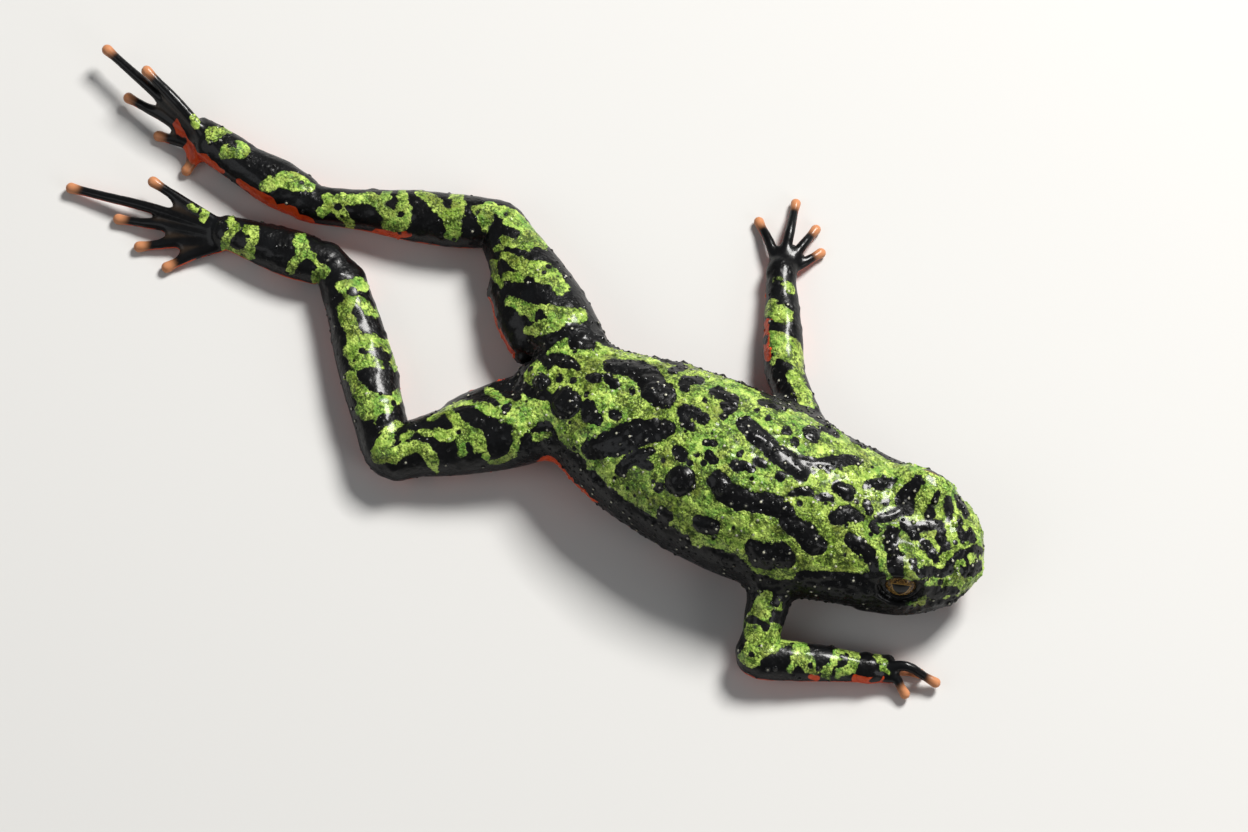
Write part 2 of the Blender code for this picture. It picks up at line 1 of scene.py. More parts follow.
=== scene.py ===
"""A fire-bellied toad at life size, stretched out flat on a pale floor.

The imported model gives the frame. One skin is laid over all of the flesh, from the same named forms
as the solids, with warts, folds and lids raised on it. It is green with black blotches above, black
with green bands on the limbs and orange below, and a pair of wet eyes sits between the lids.

Lengths are millimetres in the body frame, which has its origin under the vent, +X towards the
snout, +Y to the toad's left and the floor at z = 0. The marks on the skin are placed by the pixels
of the photograph that show them, and each lands on the skin where the camera's ray meets it.
"""

from __future__ import annotations

import json
import logging
import math
from collections.abc import Iterable, Iterator
from dataclasses import dataclass
from enum import Enum

import bmesh
import bpy
import numpy as np
from mathutils import Matrix, Vector
from mathutils.bvhtree import BVHTree
from mathutils.kdtree import KDTree

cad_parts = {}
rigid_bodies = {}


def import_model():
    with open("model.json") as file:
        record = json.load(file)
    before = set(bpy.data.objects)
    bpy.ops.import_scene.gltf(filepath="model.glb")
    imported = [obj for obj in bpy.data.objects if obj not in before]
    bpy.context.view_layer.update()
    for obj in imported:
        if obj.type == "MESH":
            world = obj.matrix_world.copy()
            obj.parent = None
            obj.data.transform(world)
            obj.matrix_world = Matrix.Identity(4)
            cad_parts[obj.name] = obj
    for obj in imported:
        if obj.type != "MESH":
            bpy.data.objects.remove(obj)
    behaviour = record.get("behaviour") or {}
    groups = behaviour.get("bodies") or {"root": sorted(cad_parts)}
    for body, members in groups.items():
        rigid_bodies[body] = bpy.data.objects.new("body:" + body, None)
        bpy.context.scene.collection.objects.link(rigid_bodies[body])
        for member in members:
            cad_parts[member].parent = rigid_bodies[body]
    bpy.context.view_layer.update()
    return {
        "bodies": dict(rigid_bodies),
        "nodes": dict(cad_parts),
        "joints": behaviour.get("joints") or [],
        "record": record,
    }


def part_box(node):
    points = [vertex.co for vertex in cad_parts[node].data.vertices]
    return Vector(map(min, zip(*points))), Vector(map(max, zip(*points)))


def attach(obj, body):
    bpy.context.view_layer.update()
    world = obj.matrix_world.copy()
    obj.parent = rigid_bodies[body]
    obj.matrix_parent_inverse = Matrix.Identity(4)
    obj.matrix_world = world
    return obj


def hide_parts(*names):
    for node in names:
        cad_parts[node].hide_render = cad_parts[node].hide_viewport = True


LOG = logging.getLogger("toad")
MM = 0.001
FAR = 60.0
SPACING = 0.7
SEED = 7

Row = tuple[float, ...]
Point = tuple[float, float, float]


class Side(Enum):
    """Which side of the toad a limb or an eye is on, with the sign of its Y."""

    LEFT = 1
    RIGHT = -1


class Work(Enum):
    """What a form does to the flesh before it."""

    ADD = "add"
    CUT = "cut"


class Layer(Enum):
    """What a stroke does to the green of the back and limbs."""

    GREEN = "green"
    DARK = "dark"


@dataclass(frozen=True)
class HeadSizes:
    """The sizes of the head's eyes, lids, nostrils and mouth, and which way the left eye looks."""

    turn: float = math.radians(7)
    gaze: Point = (0.18, 0.86, 0.42)
    eye_middle: tuple[float, float] = (39.3, -1.65)
    eye_apart: float = 8.1
    eye_height: float = 7.15
    eye_radius: float = 1.98
    cornea_rise: float = 0.1
    cornea_edge: tuple[float, float] = (0.5, 1.0)
    lid_radius: float = 2.76
    lid_opening: tuple[float, float] = (1.38, 1.1)
    lid_dish: tuple[float, float] = (2.1, 1.75)
    lid_thickness: float = 0.22
    lid_rim: float = 0.27
    lid_undercut: float = 0.3
    lid_flare: tuple[float, float] = (0.25, 1.5)
    nostril_apart: float = 2.9
    nostril_radius: float = 0.27
    mouth_height: float = 3.3
    mouth_reach: float = math.radians(100)
    mouth_groove: float = 0.28
    lip_radius: float = 0.55


@dataclass(frozen=True)
class LimbSizes:
    """Sections of the limbs: (share of the bone, half width, half height), or the two halves at a joint.

    A melt is how far from the flesh before it a form starts to round into it.
    """

    thigh: tuple[Row, ...] = ((0.0, 3.0, 3.3), (0.3, 3.5, 3.4), (0.6, 3.3, 3.0), (0.85, 2.7, 2.6))
    knee: Row = (2.3, 2.4)
    shank: tuple[Row, ...] = ((0.2, 2.5, 2.4), (0.45, 2.45, 2.3), (0.75, 1.9, 1.9))
    ankle: Row = (1.8, 1.8)
    tarsus: tuple[Row, ...] = ((0.15, 2.1, 1.9), (0.4, 2.3, 1.95), (0.75, 1.85, 1.75))
    heel: Row = (1.6, 1.45)
    upper_arm: tuple[Row, ...] = ((0.0, 2.2, 2.4), (0.5, 1.95, 2.05), (0.8, 1.75, 1.9))
    elbow: Row = (1.85, 1.9)
    forearm: tuple[Row, ...] = ((0.3, 1.85, 1.8), (0.7, 1.55, 1.5))
    wrist: Row = (1.3, 1.3)
    palm: tuple[Row, ...] = ((1.25, 1.1, 1.1), (1.35, 0.75, 0.75))
    toe_radius: float = 0.47
    finger_radius: float = 0.43
    digit_shares: Row = (1.25, 1.08, 0.94, 0.92)
    tip_swell: float = 1.12
    web_thickness: float = 0.52
    web_rungs: int = 24
    web_reach: tuple[float, float] = (0.05, 0.74)
    web_bow: float = 0.2
    leg_melt: float = 1.6
    muscle_melt: float = 1.3
    arm_melt: float = 1.4
    digit_melt: float = 0.35


@dataclass(frozen=True)
class SkinSizes:
    """How fine the skin's mesh is, how its relief is shaped, and where its roughness fades out."""

    voxel: float = 0.237
    first_coarser: float = 1.2
    floor_gap: float = 0.012
    blotch_rise: float = 0.16
    blotch_slope: float = 0.9
    wart_count: int = 760
    wart_radius: tuple[float, float] = (0.28, 0.62)
    wart_rise: tuple[float, float] = (0.1, 0.27)
    fold_rise: float = 0.05
    ripple_rise: float = 0.03
    belly_fade: tuple[float, float] = (-0.5, 0.0)
    floor_fade: tuple[float, float] = (0.5, 1.3)
    digit_fade: tuple[float, float] = (0.1, 0.8)
    lid_fade: tuple[float, float] = (0.45, 1.1)
    mouth_fade: tuple[float, float] = (0.2, 0.7)


HEAD = HeadSizes()
LIMB = LimbSizes()
SKIN = SkinSizes()

# Trunk and head, from the vent to the snout:
# (x, y, height of the widest level, half width, rise above it, depth below it)
TRUNK: tuple[Row, ...] = (
    (0.0, 0.0, 4.3, 0.7, 0.7, 0.8),
    (0.8, -0.1, 4.3, 1.8, 1.7, 1.8),
    (2.4, -0.2, 4.4, 3.1, 2.8, 2.9),
    (4.8, -0.5, 4.4, 4.8, 4.2, 4.0),
    (8.0, -0.9, 4.4, 6.3, 5.5, 4.6),
    (12.0, -1.5, 4.4, 7.5, 6.5, 4.8),
    (16.0, -1.9, 4.5, 8.2, 7.2, 4.9),
    (20.0, -2.3, 4.6, 8.5, 7.6, 5.0),
    (24.0, -2.6, 4.7, 8.6, 7.5, 5.0),
    (28.0, -2.7, 4.7, 8.3, 7.0, 4.9),
    (31.5, -2.6, 4.7, 7.8, 6.3, 4.7),
    (34.5, -2.4, 4.6, 7.3, 5.5, 4.3),
    (37.5, -2.1, 4.6, 7.0, 4.9, 4.0),
    (40.2, -1.9, 4.5, 6.5, 4.4, 3.6),
    (42.6, -1.8, 4.5, 5.5, 3.8, 3.1),
    (44.2, -1.8, 4.4, 4.3, 3.1, 2.5),
    (45.1, -1.8, 4.4, 3.2, 2.4, 1.9),
    (45.7, -1.8, 4.4, 2.0, 1.6, 1.3),
    (46.0, -1.8, 4.4, 0.9, 0.8, 0.7),
)


def full_row(row: Row) -> Row:
    """A row of (x, y, z, radius) made as long as one of (x, y, z, half width, rise, depth)."""
    return (*row[:4], row[3], row[3]) if len(row) == 4 else row


def resampled(rows: np.ndarray) -> np.ndarray:
    """Rows along a smooth curve through the given ones.

    Args:
        rows: The rows to pass through.

    Returns:
        The new rows, about SPACING apart, from the first of the given ones to the last.
    """
    padded = np.vstack([2 * rows[0] - rows[1], rows, 2 * rows[-1] - rows[-2]])
    found = []
    for before, start, end, after in zip(padded, padded[1:], padded[2:], padded[3:]):
        count = max(1, round(float(np.linalg.norm(end[:3] - start[:3])) / SPACING))
        for share in np.arange(count) / count:
            swing = (end - before) * share
            swing = swing + (2 * before - 5 * start + 4 * end - after) * share**2
            swing = swing + (3 * start - before - 3 * end + after) * share**3
            found.append(start + swing / 2)
    found.append(rows[-1])
    return np.array(found)


def bone(start: Point, end: Point, sections: Iterable[Row]) -> list[Row]:
    """Rows along a bone from its sections of (share, half width, half height)."""
    first, last = np.array(start), np.array(end)
    return [(*(first + (last - first) * share), half, tall, tall) for share, half, tall in sections]


def limb_rows(joints: tuple[Point, ...], bones: Iterable[tuple[Row, ...]], bends: Iterable[Row]) -> list[Row]:
    """Rows down a whole limb.

    Args:
        joints: The limb's joints from the trunk outwards.
        bones: The sections of the bone after each joint but the last.
        bends: The half width and half height at each joint but the first.

    Returns:
        The rows.
    """
    rows = []
    for start, end, sections, (half, tall) in zip(joints, joints[1:], bones, bends):
        rows += [*bone(start, end, sections), (*end, half, tall, tall)]
    return rows


def turned(points: np.ndarray, angle: float) -> np.ndarray:
    """The points turned about the upright axis.

    Args:
        points: Places.
        angle: How far, in radians.

    Returns:
        The turned places.
    """
    sine, cosine = math.sin(angle), math.cos(angle)
    x, y, z = points.T
    return np.stack([x * cosine - y * sine, x * sine + y * cosine, z], axis=1)


def melted(first: np.ndarray, second: np.ndarray, reach: float) -> np.ndarray:
    """The smaller of two distances, rounded where they are close."""
    blend = np.clip(0.5 + 0.5 * (second - first) / reach, 0, 1)
    return second + (first - second) * blend - reach * blend * (1 - blend)


def eased(values: np.ndarray, low: float, high: float) -> np.ndarray:
    """A smooth step from 0 at low to 1 at high."""
    share = np.clip((values - low) / (high - low), 0, 1)
    return share * share * (3 - 2 * share)


def in_head(ahead: float, left: float, up: float) -> np.ndarray:
    """A point given from the middle between the eyes, along the head's own axes."""
    spot = turned(np.array([[ahead, left, 0.0]]), HEAD.turn)[0]
    return np.array([HEAD.eye_middle[0] + spot[0], HEAD.eye_middle[1] + spot[1], up])


class Form:
    """Something with a distance, negative inside, that melts into what came before it."""

    melt: float = 0.8

    def distance(self, points: np.ndarray) -> np.ndarray:
        """About how far each point is outside the form."""
        raise NotImplementedError

    def draw(self, mesh: bmesh.types.BMesh) -> None:
        """Adds a closed, coarse shape to the mesh, for the remesher to start from."""


class Tube(Form):
    """An oval section carried along a line: each row is (x, y, z, half width, rise, depth)."""

    around = 20
    cap_rings = 4

    def __init__(self, rows: Iterable[Row], melt: float = 0.6, blunt: float = 1.0) -> None:
        """Smooths the rows and finds the direction ahead at each.

        Args:
            rows: The sections in order, each with three halves or one radius.
            melt: How far from another form it starts to round into it.
            blunt: The length of its end caps, as a share of their radius.
        """
        self.rows = resampled(np.array([full_row(row) for row in rows], float))
        aheads = np.gradient(self.rows[:, :3], axis=0)
        self.aheads = aheads / np.linalg.norm(aheads, axis=1)[:, None]
        self.melt = melt
        self.blunt = blunt

    def distance(self, points: np.ndarray) -> np.ndarray:
        """About how far each point is outside the tube, negative inside.

        Args:
            points: Places in the body frame.

        Returns:
            The distance of each point.
        """
        reach = self.rows[:, 3:].max() + 3.0
        low, high = self.rows[:, :3].min(0) - reach, self.rows[:, :3].max(0) + reach
        found = np.full(len(points), FAR)
        near = np.all((points > low) & (points < high), axis=1)
        if near.any():
            found[near] = self.from_axis(points[near])
        return found

    def from_axis(self, points: np.ndarray) -> np.ndarray:
        """The distance, read in the section that belongs to the nearest place on the axis.

        Args:
            points: Places in the body frame.

        Returns:
            The distance of each point.
        """
        starts, lines = self.rows[:-1, :3], np.diff(self.rows[:, :3], axis=0)
        nearest = np.full(len(points), np.inf)
        piece, share = np.zeros(len(points), int), np.zeros(len(points))
        for index, (start, line) in enumerate(zip(starts, lines)):
            along = np.clip((points - start) @ line / (line @ line), 0, 1)
            gap = ((points - start - along[:, None] * line) ** 2).sum(axis=1)
            closer = gap < nearest
            nearest[closer], piece[closer], share[closer] = gap[closer], index, along[closer]
        row = self.rows[piece] + share[:, None] * (self.rows[piece + 1] - self.rows[piece])
        ahead = self.aheads[piece] + share[:, None] * (self.aheads[piece + 1] - self.aheads[piece])
        side = np.cross((0, 0, 1), ahead)
        side /= np.linalg.norm(side, axis=1)[:, None]
        up = np.cross(ahead, side)
        offset = points - row[:, :3]
        across, above = (offset * side).sum(axis=1), (offset * up).sum(axis=1)
        beyond = (offset * ahead).sum(axis=1)
        height = np.where(above > 0, row[:, 4], row[:, 5])
        cap = np.minimum(row[:, 3], row[:, 4]) * self.blunt
        size = np.linalg.norm(offset, axis=1) + 1e-9
        ratio = np.sqrt((across / row[:, 3]) ** 2 + (above / height) ** 2 + (beyond / cap) ** 2) + 1e-9
        return size * (1 - 1 / ratio)

    def draw(self, mesh: bmesh.types.BMesh) -> None:
        """Adds a closed, coarse tube to the mesh.

        Args:
            mesh: What to add it to.
        """
        centres, aheads = self.rows[:, :3], self.aheads
        turns = np.linspace(0, math.pi / 2, self.cap_rings + 1)[1:]
        plan = [(0, -math.sin(turn), math.cos(turn)) for turn in turns[::-1]]
        plan += [(index, 0, 1) for index in range(len(centres))]
        plan += [(len(centres) - 1, math.sin(turn), math.cos(turn)) for turn in turns]
        rings = []
        for index, push, swell in plan:
            half, rise, depth = self.rows[index, 3:]
            side = np.cross((0, 0, 1), aheads[index])
            side /= np.linalg.norm(side)
            up = np.cross(aheads[index], side)
            centre = centres[index] + aheads[index] * push * min(half, rise) * self.blunt
            ring = []
            for turn in np.arange(self.around) / self.around * 2 * math.pi:
                height = rise if math.sin(turn) > 0 else depth
                reach = side * half * math.cos(turn) + up * height * math.sin(turn)
                ring.append(mesh.verts.new(centre + max(swell, 0.02) * reach))
            rings.append(ring)
        for before, after in zip(rings, rings[1:]):
            for index in range(self.around):
                following = (index + 1) % self.around
                mesh.faces.new((before[index], before[following], after[following], after[index]))
        mesh.faces.new(rings[0][::-1])
        mesh.faces.new(rings[-1])


@dataclass
class Ball(Form):
    """A ball, or an egg with three half axes along the head's own axes."""

    centre: Point
    half_axes: Point
    melt: float = 0.8

    def distance(self, points: np.ndarray) -> np.ndarray:
        """About how far each point is outside the ball, negative inside.

        Args:
            points: Places in the body frame.

        Returns:
            The distance of each point.
        """
        offset = turned(points - np.array(self.centre), -HEAD.turn)
        size = np.linalg.norm(offset, axis=1) + 1e-9
        ratio = np.linalg.norm(offset / np.array(self.half_axes), axis=1) + 1e-9
        return size * (1 - 1 / ratio)

    def draw(self, mesh: bmesh.types.BMesh) -> None:
        """Adds a closed, coarse ball to the mesh.

        Args:
            mesh: What to add it to.
        """
        turn = Matrix.Translation(self.centre) @ Matrix.Rotation(HEAD.turn, 4, "Z")
        place = turn @ Matrix.Diagonal((*self.half_axes, 1))
        bmesh.ops.create_uvsphere(mesh, u_segments=24, v_segments=16, radius=1, matrix=place)


@dataclass(frozen=True)
class Gaze:
    """Where an eye is and where it looks."""

    side: Side

    def centre(self) -> np.ndarray:
        """The middle of the eyeball."""
        return in_head(0, self.side.value * HEAD.eye_apart / 2, HEAD.eye_height)

    def axes(self) -> tuple[np.ndarray, np.ndarray, np.ndarray]:
        """The directions out of the eye, ahead along its almond and up across it, in the body frame.

        Returns:
            Three unit vectors.
        """
        out = np.array(HEAD.gaze) * (1, self.side.value, 1)
        out /= np.linalg.norm(out)
        ahead = np.array([1.0, 0, 0]) - out[0] * out
        ahead /= np.linalg.norm(ahead)
        up = np.cross(out, ahead) * -self.side.value
        return tuple(turned(np.array([axis]), HEAD.turn)[0] for axis in (out, ahead, up))

    def read(self, points: np.ndarray) -> tuple[np.ndarray, ...]:
        """How far each point is out along the gaze, ahead of it, above it, and from the eye's middle.

        Args:
            points: Places in the body frame.

        Returns:
            The four numbers of each point.
        """
        offset = points - self.centre()
        out, ahead, up = self.axes()
        return offset @ out, offset @ ahead, offset @ up, np.linalg.norm(offset, axis=1)


@dataclass
class LidOpening(Form):
    """The almond between an eye's lids, cut down to just under the eyeball's surface."""

    gaze: Gaze
    melt: float = 0.12

    def distance(self, points: np.ndarray) -> np.ndarray:
        """About how far each point is outside the cut.

        Args:
            points: Places in the body frame.

        Returns:
            The distance of each point.
        """
        depth, along, across, gap = self.gaze.read(points)
        wide, tall = HEAD.lid_opening
        flare, level = HEAD.lid_flare
        swell = np.maximum(1 + flare * (depth - level), 0.1)
        cone = (np.hypot(along / (wide * swell), across / (tall * swell)) - 1) * tall * swell
        return np.maximum(np.maximum(cone, HEAD.eye_radius - HEAD.lid_undercut - gap), -depth)

    def rim(self, upper: bool) -> Tube:
        """The thickened edge of the upper or the lower lid.

        Args:
            upper: Whether it is the upper lid's.

        Returns:
            The edge as a tube.
        """
        out, ahead, up = self.gaze.axes()
        wide, tall = HEAD.lid_opening
        rows = []
        for turn in np.linspace(-0.15, math.pi + 0.15, 15) * (1 if upper else -1):
            thick = HEAD.lid_rim * ((0.75 + 0.4 * abs(math.sin(turn))) if upper else 0.75)
            flat = ahead * math.cos(turn) * (wide + thick * 0.8) + up * math.sin(turn) * (tall + thick * 0.8)
            height = math.sqrt((HEAD.eye_radius + 0.12) ** 2 - float(flat @ flat))
            rows.append((*(self.gaze.centre() + flat + out * height), thick))
        return Tube(rows, melt=0.3)


@dataclass
class LidDish(Form):
    """The flesh round an eye that is taken back, so that the lids are thin where they meet the eyeball."""

    gaze: Gaze
    melt: float = 0.4

    def distance(self, points: np.ndarray) -> np.ndarray:
        """About how far each point is outside the cut.

        Args:
            points: Places in the body frame.

        Returns:
            The distance of each point.
        """
        depth, along, across, gap = self.gaze.read(points)
        wide, tall = HEAD.lid_dish
        cone = (np.hypot(along / wide, (across + 0.2) / tall) - 1) * tall
        return np.maximum(np.maximum(cone, HEAD.eye_radius + HEAD.lid_thickness - gap), -depth)


@dataclass
class Digit:
    """A finger or a toe, from its root past its knuckle to its tip."""

    root: Point
    knuckle: Point
    tip: Point
    radius: float = LIMB.toe_radius

    def tube(self) -> Tube:
        """The flesh of the digit, with a swollen tip.

        Returns:
            The tube.
        """
        root, knuckle, tip = map(np.array, (self.root, self.knuckle, self.tip))
        near_tip = tip + (knuckle - tip) * 0.9 / np.linalg.norm(knuckle - tip)
        spots = (root, knuckle, knuckle * 0.4 + tip * 0.6, near_tip, tip)
        shares = (*LIMB.digit_shares, LIMB.tip_swell)
        rows = [(*spot, self.radius * share) for spot, share in zip(spots, shares)]
        return Tube(rows, melt=LIMB.digit_melt)

    def length(self) -> float:
        """The length from the root past the knuckle to the tip."""
        return math.dist(self.root, self.knuckle) + math.dist(self.knuckle, self.tip)

    def at(self, share: float) -> np.ndarray:
        """The point a share of the way from the root to the tip.

        Args:
            share: 0 at the root, 0.5 at the knuckle and 1 at the tip.

        Returns:
            The point.
        """
        if share < 0.5:
            return np.array(self.root) + (np.array(self.knuckle) - self.root) * share * 2
        return np.array(self.knuckle) + (np.array(self.tip) - self.knuckle) * (share * 2 - 1)


@dataclass
class Leg:
    """One hind leg: its joints, its five toes from the first to the fifth, and its swells of muscle."""

    hip: Point
    knee: Point
    ankle: Point
    heel: Point
    toes: tuple[Digit, ...]
    muscles: tuple[tuple[Row, ...], ...]

    def forms(self) -> list[Form]:
        """The leg's flesh, its muscles, its toes and the rungs of its webs.

        Returns:
            The forms in the order in which they melt.
        """
        joints = (self.hip, self.knee, self.ankle, self.heel)
        bones = (LIMB.thigh, LIMB.shank, LIMB.tarsus)
        rows = limb_rows(joints, bones, (LIMB.knee, LIMB.ankle, LIMB.heel))
        swells = [Tube(muscle, melt=LIMB.muscle_melt) for muscle in self.muscles]
        return [Tube(rows, melt=LIMB.leg_melt), *swells, *(toe.tube() for toe in self.toes), *self.webs()]

    def webs(self) -> list[Tube]:
        """Rungs from toe to toe, close enough together to melt into a membrane.

        Returns:
            Tubes from each toe to the next.
        """
        rungs = []
        half = LIMB.web_thickness / 2
        for inner, outer in zip(self.toes, self.toes[1:]):
            shorter = min(inner.length(), outer.length())
            root = (np.array(inner.root) + outer.root) / 2
            for share in np.linspace(*LIMB.web_reach, LIMB.web_rungs):
                start = inner.at(share * shorter / inner.length())
                end = outer.at(share * shorter / outer.length())
                middle = (start + end) / 2
                middle = middle + (root - middle) * LIMB.web_bow * share
                rows = [(*spot, half) for spot in (start, middle, end)]
                rungs.append(Tube(rows, melt=LIMB.digit_melt))
        return rungs


@dataclass
class Arm:
    """One arm: where its joints are, and its four fingers from the first to the fourth."""

    shoulder: Point
    elbow: Point
    wrist: Point
    fingers: tuple[Digit, ...]

    def forms(self) -> list[Form]:
        """The arm's flesh, its palm and its fingers.

        Returns:
            The forms in the order in which they melt.
        """
        joints = (self.shoulder, self.elbow, self.wrist)
        rows = limb_rows(joints, (LIMB.upper_arm, LIMB.forearm), (LIMB.elbow, LIMB.wrist))
        palm_end = sum(np.array(finger.at(0.3)) for finger in self.fingers) / len(self.fingers)
        near, far = LIMB.palm
        palm = Tube(((*self.wrist, *near), (*palm_end, *far)))
        return [Tube(rows, melt=LIMB.arm_melt), palm, *(finger.tube() for finger in self.fingers)]


# The near, right leg and then the far, left one
LEGS = (
    Leg(
        hip=(5.5, -2.6, 4.1),
        knee=(-8.2, -11.2, 2.5),
        ankle=(-20.5, 3.8, 1.9),
        heel=(-31.0, 3.4, 1.6),
        toes=(
            Digit((-31.2, 2.0, 1.1), (-33.3, 0.3, 0.8), (-35.0, -1.6, 0.5)),
            Digit((-31.4, 2.3, 1.3), (-34.9, 1.0, 0.9), (-38.2, -0.7, 0.5)),
            Digit((-31.5, 2.7, 1.5), (-36.2, 2.0, 1.2), (-41.1, 1.1, 0.5)),
            Digit((-31.5, 3.2, 1.7), (-38.4, 2.9, 1.6), (-46.4, 2.2, 0.7)),
            Digit((-31.3, 3.6, 1.8), (-35.2, 4.3, 2.1), (-39.2, 5.1, 2.4)),
        ),
        muscles=(
            ((-3.9, -5.2, 2.4, 1.4), (-2.7, -4.2, 2.6, 1.7), (-1.9, -3.7, 2.8, 1.8), (-0.2, -2.1, 3.1, 1.7)),
            ((-18.2, 3.4, 1.9, 1.2), (-17.8, 2.4, 2.0, 1.5), (-16.0, 0.2, 2.1, 1.6), (-12.0, -4.4, 2.3, 1.4)),
        ),
    ),
    Leg(
        hip=(5.4, 2.6, 4.1),
        knee=(-7.7, 13.3, 2.5),
        ankle=(-24.4, 9.0, 1.8),
        heel=(-35.8, 10.6, 1.9),
        toes=(
            Digit((-36.1, 10.0, 1.2), (-36.9, 9.2, 0.8), (-37.2, 8.0, 0.5)),
            Digit((-36.4, 10.3, 1.5), (-38.8, 10.3, 1.0), (-41.0, 10.2, 0.5)),
            Digit((-36.6, 10.6, 1.9), (-40.8, 11.6, 1.9), (-45.0, 12.4, 1.2)),
            Digit((-36.6, 10.9, 2.3), (-42.2, 13.1, 2.9), (-48.5, 15.6, 2.6)),
            Digit((-36.4, 11.1, 2.7), (-40.1, 12.8, 3.9), (-43.8, 14.4, 4.4)),
        ),
        muscles=(
            ((-4.7, 7.3, 2.5, 1.5), (-3.4, 6.2, 2.7, 1.9), (-2.3, 5.0, 2.9, 2.0), (-1.1, 3.6, 3.0, 1.8)),
            ((-37.2, 11.9, 2.2, 0.9), (-35.5, 11.4, 2.1, 1.2), (-33.8, 11.0, 2.0, 1.2)),
        ),
    ),
)

# The near, right arm and then the far, left one
ARMS = (
    Arm(
        shoulder=(28.3, -6.5, 4.8),
        elbow=(30.2, -16.5, 2.1),
        wrist=(39.9, -13.4, 1.4),
        fingers=(
            Digit((40.5, -12.9, 1.0), (41.6, -12.3, 0.7), (42.7, -12.0, 0.45), LIMB.finger_radius),
            Digit((40.7, -13.0, 1.1), (42.5, -12.2, 0.6), (44.3, -11.8, 0.45), LIMB.finger_radius),
            Digit((40.7, -13.1, 1.4), (43.0, -12.1, 2.0), (46.0, -12.2, 0.9), LIMB.finger_radius),
            Digit((40.5, -13.3, 1.4), (42.2, -13.1, 1.5), (43.8, -14.2, 0.7), LIMB.finger_radius),
        ),
    ),
    Arm(
        shoulder=(28.3, 2.0, 4.8),
        elbow=(22.0, 10.4, 2.3),
        wrist=(18.1, 19.4, 1.4),
        fingers=(
            Digit((18.7, 19.9, 1.1), (19.8, 21.4, 1.0), (20.7, 22.9, 0.5), LIMB.finger_radius),
            Digit((18.3, 20.2, 1.2), (18.9, 22.5, 1.3), (19.4, 24.9, 0.5), LIMB.finger_radius),
            Digit((17.9, 20.2, 1.3), (17.4, 23.3, 1.6), (16.7, 26.6, 0.5), LIMB.finger_radius),
            Digit((17.5, 20.0, 1.2), (16.0, 21.8, 1.2), (14.2, 23.6, 0.5), LIMB.finger_radius),
        ),
    ),
)


def digits() -> list[Digit]:
    """Every toe and finger."""
    return [toe for leg in LEGS for toe in leg.toes] + [finger for arm in ARMS for finger in arm.fingers]


